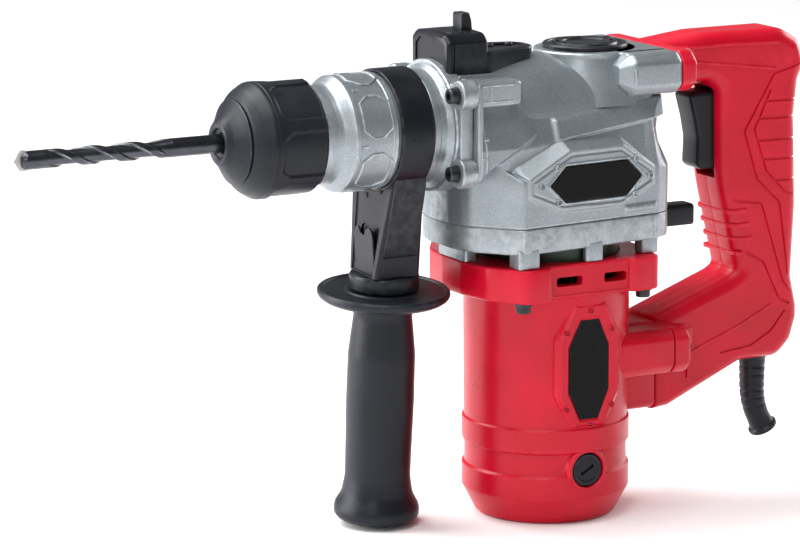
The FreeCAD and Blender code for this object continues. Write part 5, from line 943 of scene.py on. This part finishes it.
motor = {
    "axis": 196.0, "bore": 40.5, "floor": -221.0, "ringTop": -74.4, "ringFloor": -93.0,
    "ring": [(136, -10), (140, -32), (153, -53), (168, -53), (171, -46.3), (221, -46.3), (224, -49),
    (240, -47), (243.5, -30), (247, -10),
             (247, 10), (243.5, 30), (240, 47), (224, 49), (221, 46.3), (171, 46.3), (168, 53), (153, 53),
             (140, 32), (136, 10)],
    "ringRound": [6, 14, 9, 3, 1.2, 1.2, 2, 5, 8, 6, 6, 8, 5, 2, 1.2, 1.2, 3, 9, 14, 6],
    "slots": [(175.4, 191.6), (205.4, 219.6)], "slotHeight": (-86.3, -81.1),
    "frame": [(186.5, -96), (207.5, -96), (217, -116), (217, -148), (207.5, -167.2), (186.5, -167.2),
    (176, -148), (176, -116)],
    "plate": [(191.0, -106), (202.6, -106), (209.2, -121), (209.2, -146), (202.6, -161.5), (191.0, -161.5),
    (183.8, -146), (183.8, -121)],
    "rivets": [(197.0, -101.3), (210.4, -112.5), (210.4, -154.6), (197.0, -164.4), (181.9, -112.5),
    (181.9, -154.6)],
    "faceOut": 46.2, "pocketFloor": 44.0, "brushHeight": -190.0,
    "screws": [(155, 45), (155, -45), (235, 38), (235, -38)],
}


def makeMotor():
    m = motor
    centre = np.array([m["axis"], 0, 0])
    outer = outline([(-92.6, 45.9), (-100, 45.8), (-166.4, 45.25), (-167.4, 46.4), (-179.6, 46.4),
        (-180.8, 44.9), (-192.6, 44.9),
                     (-193.8, 46.4), (-206, 46.4), (-219.6, 39.2), (-221, 37.4), (-221, 2)],
                    [0.1, 2, 0.3, 0.5, 0.5, 0.4, 0.4, 0.6, 2.0, 2.0, 1.6, 0.1], closed=False, steps=4)
    profile = np.vstack([[(-214, 2), (-214, 34.5), (-204, m["bore"]), (-92.6, m["bore"])],
        fine(outer, 4.0)])
    shell = skin(lathe(profile, 180) + centre)
    cuts = []
    for sign in (1, -1):
        cuts.append(skin(upAlong(stack(m["plate"], [(m["pocketFloor"], 0.0), (48, 0.0)], 0.5), "y") * [1,
            sign, 1]))
        bore = lathe([(41.6, 9.9), (50, 9.9)], 64) + np.array([m["axis"], m["brushHeight"], 0.0])
        cuts.append(skin(upAlong(bore, "y") * [1, sign, 1]))
    skins = [carved(shell, cuts)]
    ring = skin(stack(m["ring"], softEnds(m["ringFloor"], m["ringTop"], 1.6, 0.9), m["ringRound"]))
    tools = [skin(lathe([(-92.8, m["bore"]), (-70, m["bore"])], 120) + centre)]
    low, high = m["slotHeight"]
    for sign in (1, -1):
        for x0, x1 in m["slots"]:
            slot = slab([(x0, low), (x1, low), (x1, high), (x0, high)], 33, 50, 1.6, 0.05, steps=4)
            tools.append(skin(upAlong(slot, "y") * [1, sign, 1]))
        panel = slab([(172.6, -91.2), (221, -91.2), (221, -76.6), (172.6, -76.6)], 45.7, 50, 1.6, 0.05,
            steps=4)
        tools.append(skin(upAlong(panel, "y") * [1, sign, 1]))
    skins.append(carved(ring, tools))
    for sign in (1, -1):
        frameRim = stack(m["frame"], [(37, 0), (43.2, 0), (43.8, 0.35), (45.6, 2.3), (m["faceOut"], 2.9)],
            1.0)
        pocket = stack(m["plate"], [(m["pocketFloor"], 0), (45.0, 0), (47.2, -2.2)], 0.5)
        skins.append(carved(skin(upAlong(frameRim, "y") * [1, sign, 1]),
            [skin(upAlong(pocket, "y") * [1, sign, 1])]))
        for rx, rz in m["rivets"]:
            skins += slottedHead((rx, sign * (m["faceOut"] - 0.1), rz), (0, sign, 0), 1.9, 0.55, 0.6,
                rx * 37)
        collar = outline([(36, 13.4), (41.5, 13.4), (44.5, 12.6), (46.4, 11.6), (46.4, 10.2), (45.9, 9.75),
            (42.0, 9.65), (42.0, 3)],
                         [0.1, 2, 1, 0.7, 0.5, 0.3, 0.2, 0.1], closed=False, steps=4)
        skins.append(skin(upAlong(lathe(collar, 96) + np.array([m["axis"], m["brushHeight"], 0.0]),
            "y") * [1, sign, 1]))
        boss = stack([(18.2, -119.2), (33, -119.2), (37.8, -124), (37.8, -139), (33, -144.8),
            (18.2, -144.8)],
                     [(220, 0), (254.6, 0), (256.2, 0.3), (256.9, 1.0)], [1, 5, 5, 5, 5, 1])
        skins.append(skin(upAlong(boss * [sign, 1, 1], "x")))
    spine = stack([(-17, -118), (17, -118), (17, -168), (-17, -168)], [(228, 0), (255.4, 0), (256.8, 0.7)],
        4.0)
    skins.append(skin(upAlong(spine, "x")))
    makePiece("motor_housing_moulded", skins, "tool", "redPlastic", ["motor_housing"])

    plates, caps = [], []
    for sign in (1, -1):
        plate = stack(m["plate"], [(43.9, 0.5), (43.9, 0.15), (45.0, 0.15), (45.2, 0.35), (45.2, 1.0)], 0.5)
        plates.append(skin(upAlong(plate, "y") * [1, sign, 1]))
        cap = outline([(41.2, 9.3), (44.9, 9.3), (45.7, 8.5), (45.5, 6.6), (45.1, 6.2), (45.1, 2)],
            [0.1, 0.7, 0.6, 0.3, 0.3, 0.1],
                      closed=False, steps=4)
        body = skin(upAlong(lathe(fine(cap, 1.2), 72) + np.array([m["axis"], m["brushHeight"], 0.0]),
            "y") * [1, sign, 1])
        t = math.radians(28)
        bar = slab([(-4.6, -1.1), (4.6, -1.1), (4.6, 1.1), (-4.6, 1.1)], 43.7, 48, 0.5, 0.05, steps=3)
        bar = np.stack([bar[..., 0] * math.cos(t) - bar[..., 1] * math.sin(t) + m["axis"],
                        bar[..., 0] * math.sin(t) + bar[..., 1] * math.cos(t) + m["brushHeight"],
                        bar[..., 2]], -1)
        caps.append(carved(body, [skin(upAlong(bar, "y") * [1, sign, 1])]))
    makePiece("motor_plate_blank", plates, "tool", "blackGloss", ["motor_badges"])
    makePiece("brush_caps_slotted", caps, "tool", "blackPlastic", ["brush_caps"], 30)
    screws = []
    for x, y in m["screws"]:
        screws.append(skin(seated(lathe([(0.0, 4.9), (1.4, 4.9)], 40), (x, y, m["ringFloor"] - 0.1),
            (0, 0, -1))))
        screws.append(socketHead((x, y, m["ringFloor"] - 1.5), (0, 0, -1), 4.0, 4.0, 2.0, 2.2, 20))
    makePiece("motor_screws_capped", screws, "tool", "darkSteel", ["motor_screws"])


handle = {
    "half": 17.0, "round": 7.5,
    "side": [(256.2, 36.0), (290, 40), (340, 40), (352, 33), (356, 19.5), (352, 10), (350, -10),
    (352, -60), (350, -102), (354, -119),
             (354, -126), (350, -139), (341, -148), (316, -148), (268, -169), (257.2, -170), (257.2, -116),
             (307, -98), (312, -95),
             (301, -50), (299, -39.5), (298, 7), (292, 13), (256.2, 13)],
    "sideRound": [1, 40, 14, 10, 9, 12, 30, 60, 16, 6, 6, 10, 12, 10, 8, 1, 1, 8, 8, 12, 8, 4, 5, 1],
    "slot": [(289, 9.5), (310, 9.5), (310, -42.5), (289, -42.5)], "slotHalf": 9.4,
    "grooves": [[(352, 20.0), (333.2, 15.2), (313.6, -16.4), (322.8, -44.4), (338.0, -58.4), (344.5, -100)],
                [(331, 6.0), (320.4, -15.8), (329.0, -40.3), (341.0, -52.0), (352, -56)],
                [(300, -53.5), (325.8, -57.7), (341.4, -104.5), (349, -112)],
                [(316.5, -85.0), (327.9, -91.7), (338.5, -113.4), (346, -117)],
                [(277.2, -131.5), (277.4, -153)],
                [(300, -140.8), (320.1, -138.7), (334.0, -131.4), (343.0, -120.7)]],
    "ridges": [[(262, -133), (280, -138.6), (309.7, -127.8), (334, -116.6)],
    [(277, 25.6), (310, 21.2), (334, 18.0)],
               [(270, 32.6), (300, 33.6), (336, 32.6)]],
    "steps": [(327.5, 0.0), (323.6, -9.6), (322.6, -22.0), (326.6, -33.0), (333.4, -45.4)],
    "pads": [(-61.5, 316), (-69.5, 318), (-77.5, 320), (-85.5, 314)],
    "screws": [(286, 32), (340, 26), (334, -89), (281, -138)],
    "upperCollar": [(0, 13.2), (36.5, 13.2), (43.4, 19), (43.4, 30), (37.5, 35.9), (0, 35.9)],
    "lowerCollar": [(0, -119.4), (33, -119.4), (37.9, -124.4), (37.9, -139), (33, -144.9), (0, -144.9)],
}


def backOf(z):
    # x of the grip's back at a height, along the side outline
    return np.interp(z, [-119, -102, -60, -10, 10, 19.5], [354, 350, 352, 350, 352, 356])


def makeHandleHalf(sign):
    h = handle
    half, edge = h["half"], h["round"]
    body = skin(upAlong(slab(h["side"], 0.03, half, h["sideRound"], 0.35, edge, steps=6), "y") * [1, sign,
        1])
    groove = np.array([(-1.1, 0.6), (1.1, 0.6), (0.4, -0.9), (-0.4, -0.9)])
    tools = []
    for line in h["grooves"]:
        flat = fine(outline(line, 3.0, closed=False, steps=4), 2.5)
        path = np.column_stack([flat[:, 0], np.full(len(flat), half * sign), flat[:, 1]])
        tools.append(skin(ribbon(path, groove, False, (0, sign, 0))))
    for x, z in h["steps"]:
        back = float(backOf(z))
        bend = outline([(x, half), (back, half), (back, -1.0)], [0, edge, 0], closed=False, steps=8)
        bend = fine(bend, 2.0)
        path = np.column_stack([bend[:, 0], bend[:, 1] * sign, z - 0.02 * (bend[:, 0] - x)])
        step = np.roll(path, -1, axis=0) - path
        step[-1] = step[-2]
        out = np.cross(step, [0, 0, 1.0]) * -sign
        tools.append(skin(ribbon(path, groove, False, out)))
    slot = upAlong(slab(h["slot"], -1.0, h["slotHalf"], 1.5, 0.05), "y") * [1, sign, 1]
    tools.append(skin(slot))
    if sign > 0:
        tools += [skin(upAlong(lathe([(13.8, 3.3), (18, 3.3)], 32) + np.array([x, z, 0.0]), "y")) for x,
            z in h["screws"]]
    skins = [carved(body, tools)]
    rail = ridgeProfile(1.8, 0.6, 0.8, 0.35)
    for line in h["ridges"]:
        flat = fine(outline(line, 6.0, closed=False, steps=4), 2.5)
        path = np.column_stack([flat[:, 0], np.full(len(flat), half * sign), flat[:, 1]])
        skins.append(skin(ribbon(path, rail, False, (0, sign, 0))))
    pad = ridgeProfile(2.6, 0.7, 1.2, 0.5)
    for z, x in h["pads"]:
        front = 301 + (-50 - z) * 0.244
        bend = fine(outline([(x, half), (front, half), (front, 0.2)], [0, edge, 0], closed=False, steps=8),
            2.0)
        path = np.column_stack([bend[:, 0], bend[:, 1] * sign, z + 0.05 * (bend[:, 0] - front)])
        out = np.array([[-1.0, 0, 0]] * len(path))
        out = np.where((bend[:, 0] > front + edge)[:, None], [0, sign, 0], np.stack([
            (front + edge - bend[:, 0]) * -1, (bend[:, 1] - half + edge).clip(0) * sign,
            np.zeros(len(path))], -1) + np.array([-1e-3, 0, 0]))
        skins.append(skin(ribbon(path, pad, False, out)))
    for corners, x0, x1, x2, wide, z0, z1 in ((h["upperCollar"], 256.3, 266.0, 284, 23.0, 15.0, 34.5),
                                              (h["lowerCollar"], 257.3, 268.0, 286, 21.0, -143.5, -121.0)):
        rows = stack(corners,
            [(x0, 0.5), (x0 + 0.5, 0), (x1 - 2.6, 0), (x1 - 1.2, 0.5), (x1 - 0.3, 1.6), (x1, 2.8)],
            [0.3, 5, 5, 5, 5, 0.3])
        skins.append(skin(upAlong(rows * [sign, 1, 1], "x")))
        gusset = slab([(x1 - 4, 1), (x1 - 4, wide), (x1 + 1, wide), (x2, half - 1.5), (x2, 1)], z0, z1,
            [1, 1, 4, 6, 1], 4.0)
        skins.append(skin(gusset * [1, sign, 1]))
    name = "right" if sign > 0 else "left"
    makePiece("handle_%s_moulded" % name, skins, "tool", "redPlastic", ["handle_%s_shell" % name])


def makeHandle():
    makeHandleHalf(-1)
    makeHandleHalf(1)
    heads = [part for x,
        z in handle["screws"] for part in slottedHead((x, 14.2, z), (0, 1, 0), 3.0, 1.7, 0.8, x)]
    makePiece("handle_screws_slotted", heads, "tool", "darkSteel", ["handle_screws"])
    bolts = []
    for x, y, z in ((266.0, 32, 24.5), (268.0, 28, -132.0)):
        for sign in (1, -1):
            bolts.append(socketHead((x, y * sign, z), (1, 0, 0), 3.6, 3.9, 1.8, 2.2, 18))
            bolts.append(skin(seated(lathe([(-0.3, 4.6), (0.9, 4.6)], 36), (x - 0.2, y * sign, z),
                (1, 0, 0))))
    makePiece("handle_bolts_capped", bolts, "tool", "darkSteel", ["handle_bolts"])

    finger = slab([(282.2, 6.9), (286.4, -8), (288.8, -20), (288.2, -34.5), (291, -37.2), (305.8, -38.2),
        (305.8, 6.9)], -9, 9,
                  [3, 30, 20, 3, 4, 4, 4], 2.6, 2.6, steps=6)
    makePiece("trigger_moulded", [skin(upAlong(finger, "y"))], "trigger_body", "blackPlastic", ["trigger"])


boot = {"place": (333.0, 0.0, -148.0), "drop": 18.0, "bend": 42.0, "lean": 28.0, "tail": 7.9, "ribs": 6,
        "ribStart": 12.0, "ribStep": 4.6, "ribDepth": 0.45, "boreRadius": 4.1, "mouthRadius": 5.0}


def makeBoot():
    b = boot
    lean = math.radians(b["lean"])
    turn = np.linspace(0, lean, 34)
    straight = np.column_stack([np.zeros(26), np.zeros(26), np.linspace(5.5, -b["drop"], 26)])
    arc = np.column_stack([b["bend"] * (1 - np.cos(turn)), 0 * turn,
        -b["drop"] - b["bend"] * np.sin(turn)])[1:]
    heading = np.array([math.sin(lean), 0, -math.cos(lean)])
    tail = arc[-1] + heading * np.linspace(0.4, b["tail"], 22)[:, None]
    path = np.vstack([straight, arc, tail])
    far = np.concatenate([[0], np.cumsum(np.linalg.norm(np.diff(path, axis=0), axis=1))])
    size = np.interp(far, [0, 5, 8, 30, far[-1] - 9, far[-1] - 3.6, far[-1] - 2.6, far[-1] - 0.8, far[-1]],
                     [9.5, 9.5, 7.6, 7.0, 6.6, 7.0, 8.4, 8.4, 7.6])
    for k in range(b["ribs"]):
        at = b["ribStart"] + k * b["ribStep"]
        size = size - b["ribDepth"] * ramp(0.9 - np.abs(far - at), 0, 0.8)
    inner = path[::-1][1:20]
    size = np.concatenate([size, np.full(len(inner), b["boreRadius"])])
    size[len(path)] = b["mouthRadius"]
    t = np.linspace(0, fullTurn, 40, endpoint=False)
    circle = np.column_stack([np.cos(t), np.sin(t)])
    outer = ribbon(path, circle, False, (0, 1, 0))
    centre = path[:, None]
    spokes = outer - centre
    grid = np.concatenate([centre + spokes * size[:len(path), None, None],
                           centre[::-1][1:20] + spokes[::-1][1:20] * size[len(path):, None,
                           None]]) + np.array(b["place"])
    makePiece("cable_boot_ribbed", [skin(grid)], "tool", "blackRubber", ["cable_boot"])


selector = {
    "arch": [(-20, 27), (-20, 46.4), (-15.5, 50.4), (0, 51), (15.5, 50.4), (20, 46.4), (20, 27)],
    "archRound": [0.3, 2, 4, 60, 4, 2, 0.3],
    "front": 122.1, "blockEnd": 147.0,
    "tail": [(145, -20), (149, -20), (169, -13.6), (179, -10.5), (183, -5), (183, 5), (179, 10.5),
    (169, 13.6), (149, 20), (145, 20)],
    "tab": [(139, 43.1), (139, 59.2), (140, 60), (144.2, 59.7), (145.3, 56), (146.0, 50.5), (148, 46.4),
    (148, 43.1)],
}


def makeSelectors():
    s = selector
    block = stack(s["arch"],
        [(s["front"], 1.6), (s["front"] + 0.5, 0.7), (s["front"] + 1.6, 0), (s["blockEnd"] - 1.0, 0),
        (s["blockEnd"], 0.8)],
                  s["archRound"])
    slot = skin(slab([(138.5, -5.5), (150, -5.5), (150, 5.5), (138.5, 5.5)], 42.5, 55, 0.4, 0.05))
    # a plain panel sunk into the front, and a groove round the sides behind it
    face = upAlong(stack([(-15.5, 31), (-15.5, 43.2), (-11, 47), (11, 47), (15.5, 43.2), (15.5, 31)],
        [(121, 0), (122.9, 0)], 2.0), "x")
    tools = [slot, skin(face)]
    hoop = outline(s["arch"], s["archRound"])
    path = np.column_stack([np.full(len(hoop), 126.2), hoop])
    middle = np.array([126.2, 0, 36.0])
    out = path - middle
    groove = np.array([(-0.45, 0.5), (0.45, 0.5), (0.25, -0.55), (-0.25, -0.55)])
    tools.append(skin(ribbon(path, groove, True, out), looped=True))
    skins = [carved(skin(upAlong(block, "x")), tools)]
    tail = skin(stack(s["tail"], softEnds(27, 40.5, 0.2, 1.6), [1, 2, 8, 6, 4, 4, 6, 8, 2, 1]))
    well = skin(slab([(156, -6.5), (178, -5.5), (178, 5.5), (156, 6.5)], 39.5, 43, 3.0, 0.05))
    skins.append(carved(tail, [well]))
    step = slab([(128, -12), (138, -12), (138, 12), (128, 12)], 49.5, 50.95, 1.5, 0.3, 0.5)
    skins.append(skin(step))
    makePiece("selector_base_arched", skins, "tool", "blackPlastic", ["selector_base"])
    thumb = upAlong(slab(s["tab"], -5, 5, [0.3, 1.2, 0.8, 1.2, 2, 5, 1.5, 0.3], 0.8, steps=5), "y")
    ribs = [skin(ribbon(np.array([[141.2 + 1.3 * k, -4.2, 59.7], [141.2 + 1.3 * k, 4.2, 59.7]]),
        ridgeProfile(0.6, 0.28, 0.4, 0.15),
                        False, (0, 0, 1))) for k in range(3)]
    makePiece("selector_tab_curved", [skin(thumb)] + ribs, "selector", "blackPlastic", ["selector_tab"])
    screws = [part for x in (171.0, 159.0) for part in slottedHead((x, 0, 40.0), (0, 0, 1), 2.2, 1.8, 0.7,
        x)]
    makePiece("selector_screws_slotted", screws, "tool", "darkSteel", ["selector_screws"])

    blade = slab([(247.2, -15.8), (262, -15.8), (262, -4.2), (247.2, -4.2)], -65.4, -59.7, 2.0, 0.8)
    knob = upAlong(slab([(-16.6, -66.2), (-3.4, -66.2), (-3.4, -54.2), (-16.6, -54.2)], 261.8, 281.9, 2.2,
        1.2), "x")
    pin = lathe([(-60.5, 2.9), (-54.8, 2.9), (-54.6, 2.7)], 32) + np.array([252.0, -10.0, 0.0])
    makePiece("chisel_lever_moulded", [skin(blade), skin(knob), skin(pin)], "chisel_lever_body",
        "blackPlastic", ["chisel_lever"])


sideHandle = {
    "lean": 4.0, "axis": 97.5, "strapInner": 31.45, "strapOuter": 33.0, "front": 88.0, "end": 108.0,
    "rows": [(-22.0, 88.6, 107.6, 23.0), (-27.0, 88.0, 108.0, 23.4), (-40.0, 87.0, 108.8, 21.2),
    (-60.0, 85.3, 110.2, 17.9), (-80.0, 83.6, 111.4, 15.0)],
    "rodHole": (3.75, -56.0), "rodRadius": 4.0,
    "plate": [(-10.6, -13.4), (10.6, -13.4), (10.6, 7.5), (8.6, 12.0), (5.2, 12.6), (3.4, 9.2),
    (-0.6, 8.0), (-2.6, 12.4), (-6.0, 14.4), (-9.4, 12.6), (-10.6, 8.5)],
}


def leaned(grid):
    # turned about X by the lean: y cos a - z sin a, y sin a + z cos a
    a = math.radians(sideHandle["lean"])
    x, y, z = grid[..., 0], grid[..., 1], grid[..., 2]
    return np.stack([x, y * math.cos(a) - z * math.sin(a), y * math.sin(a) + z * math.cos(a)], -1)


def leanedSkin(part):
    return leaned(part[0]), part[1]


def makeSideHandle():
    s = sideHandle
    inner, outer = s["strapInner"], s["strapOuter"]
    band = outline([(s["front"] + 0.05, inner + 0.1), (s["front"] + 0.05, outer - 0.05),
        (s["end"] - 0.05, outer - 0.05), (s["end"] - 0.05, inner + 0.1)],
                   [0.1, 0.6, 0.6, 0.1], closed=False)
    skins = [skin(upAlong(lathe(fine(band, 1.5), 160), "x"), looped=True)]
    for k in range(3):
        skins += slottedHead((94.5 + 3.4 * k, -outer * math.cos(0.02), 0.6 - 0.5 * k), (0, -1, 0), 0.55,
            0.2, 0.15)
    makePiece("handle_strap_band", [leanedSkin(part) for part in skins], "side_handle", "blackPlastic",
        ["handle_strap"])

    rows = []
    z = np.concatenate([np.linspace(-22, -79, 24), [-79.6, -80.0]])
    table = np.array(s["rows"])[::-1]
    for height in z:
        x0, x1, half = (float(np.interp(height, table[:, 0], table[:, i])) for i in (1, 2, 3))
        ring = outline([(x0, -half), (x1, -half), (x1, half), (x0, half)], 2.4,
            0.8 * max(0.0, -79 - height))
        rows.append(np.column_stack([ring, np.full(len(ring), height)]))
    block = skin(np.stack(rows))
    saddle = skin(upAlong(lathe([(70, outer + 0.15), (125, outer + 0.15)], 120), "x"))
    rodY, rodZ = s["rodHole"]
    rod = skin(upAlong(lathe([(70, s["rodRadius"]), (125, s["rodRadius"])],
        48) + np.array([rodY, rodZ, 0.0]), "x"))
    # the front is sunk between two side rails, from the barrel to the plate
    sunk = np.stack([np.column_stack([ring, np.full(len(ring), height)]) for ring, height in (
        (outline([(x - 2.0, -half), (x + 1.0, -half), (x + 1.0, half), (x - 2.0, half)], 0.5), height)
        for height, x, half in ((-30.0, 87.6, 15.5), (-48.0, 86.2, 14.0), (-78.4, 83.7, 11.6)))])
    body = carved(block, [saddle, rod, skin(sunk)])
    collar = lathe(outline([(-79.5, 4.2), (-79.5, 18.2), (-80.5, 19.0), (-87.2, 19.0), (-87.9, 18.3),
        (-87.9, 4.2)],
                           [0.1, 0.6, 0.8, 0.8, 0.6, 0.1], closed=False), 96) + np.array([s["axis"], 0, 0])
    # a plate with two rounded lugs on the front, cut away round the rod's hole
    plate = slab(s["plate"], 0, 1.2, [1, 1, 3, 3, 2.5, 2, 2, 2.5, 3, 3, 3], 0.1, 0.4, steps=4)
    tilt = np.array([-1.0, 0, -0.085])
    plate = seated(plate * [-1, 1, 1], (85.6, 0.0, -66.0), tilt)
    parts = [body, skin(collar), skin(plate)]
    # the band's ends run straight down both sides of the bracket
    for sign in (1, -1):
        ends = np.stack([np.column_stack([outline([(x + 1.2, 0), (x + wide, 0), (x + wide, half),
            (x + 1.2, half)], 0.6), np.full(24, height)])
                         for height, x, wide,
                         half in ((-20.0, 88.0, 20.0, 24.6), (-27.0, 88.0, 20.0, 24.2),
                         (-45.0, 87.0, 20.6, 21.4),
                                                       (-66.0, 85.6, 22.6, 17.9),
                                                       (-67.2, 86.0, 21.8, 17.0))])
        parts.append(carved(skin(ends * [1, sign, 1]), [saddle]))
    for y, height in ((-9.5, -31.8), (5.5, -37.0)):
        x = float(np.interp(height, table[:, 0], table[:, 1]))
        parts += slottedHead((x + 0.9, y, height), tilt, 1.5, 0.7, 0.5, 30)
    rail = ridgeProfile(1.3, 0.35, 0.6, 0.25)
    for sign in (1, -1):
        line = np.array([[91.0, 22.9, -29], [89.6, 19.3, -50], [87.6, 15.2, -77]]) * [1, sign, 1]
        parts.append(skin(ribbon(line, rail, False, (0, sign, -0.2))))
    makePiece("handle_bracket_plated", [leanedSkin(part) for part in parts], "side_handle", "blackPlastic",
        ["handle_bracket"])

    grip = outline([(-88.6, 4.3), (-88.6, 20.5), (-89.3, 21.5), (-89.3, 32.6), (-88.45, 33.6),
        (-88.45, 35.2), (-89.3, 36.1), (-91.0, 36.3),
                    (-92.6, 35.4), (-94.4, 33.0), (-95.6, 19.5), (-98.0, 16.8), (-103, 16.0),
                    (-124.5, 18.3), (-150, 18.6), (-194, 17.9),
                    (-204, 19.6), (-209.6, 22.9), (-212, 23.45), (-215.2, 23.4), (-217.9, 21.2),
                    (-217.9, 3)],
                   [0.1, 0.4, 0.4, 0.5, 0.4, 0.6, 0.8, 1, 1, 2, 4, 3, 12, 30, 60, 30, 14, 5, 3, 2.5, 2,
                   0.1], closed=False, steps=6)
    body = skin(lathe(fine(grip, 2.5), 144) + np.array([s["axis"], 0, 0]))
    makePiece("side_grip_moulded", [leanedSkin(body)], "side_grip_body", "blackRubber", ["side_grip"])


for label, make in (("bit", makeBit), ("chuck", makeChuck), ("barrel", makeBarrel),
    ("gear case", makeGearCase), ("gear cover", makeCover),
                    ("motor housing", makeMotor), ("rear handle", makeHandle), ("cable boot", makeBoot),
                    ("selectors", makeSelectors),
                    ("side handle", makeSideHandle)):
    make()
    print("made the", label)
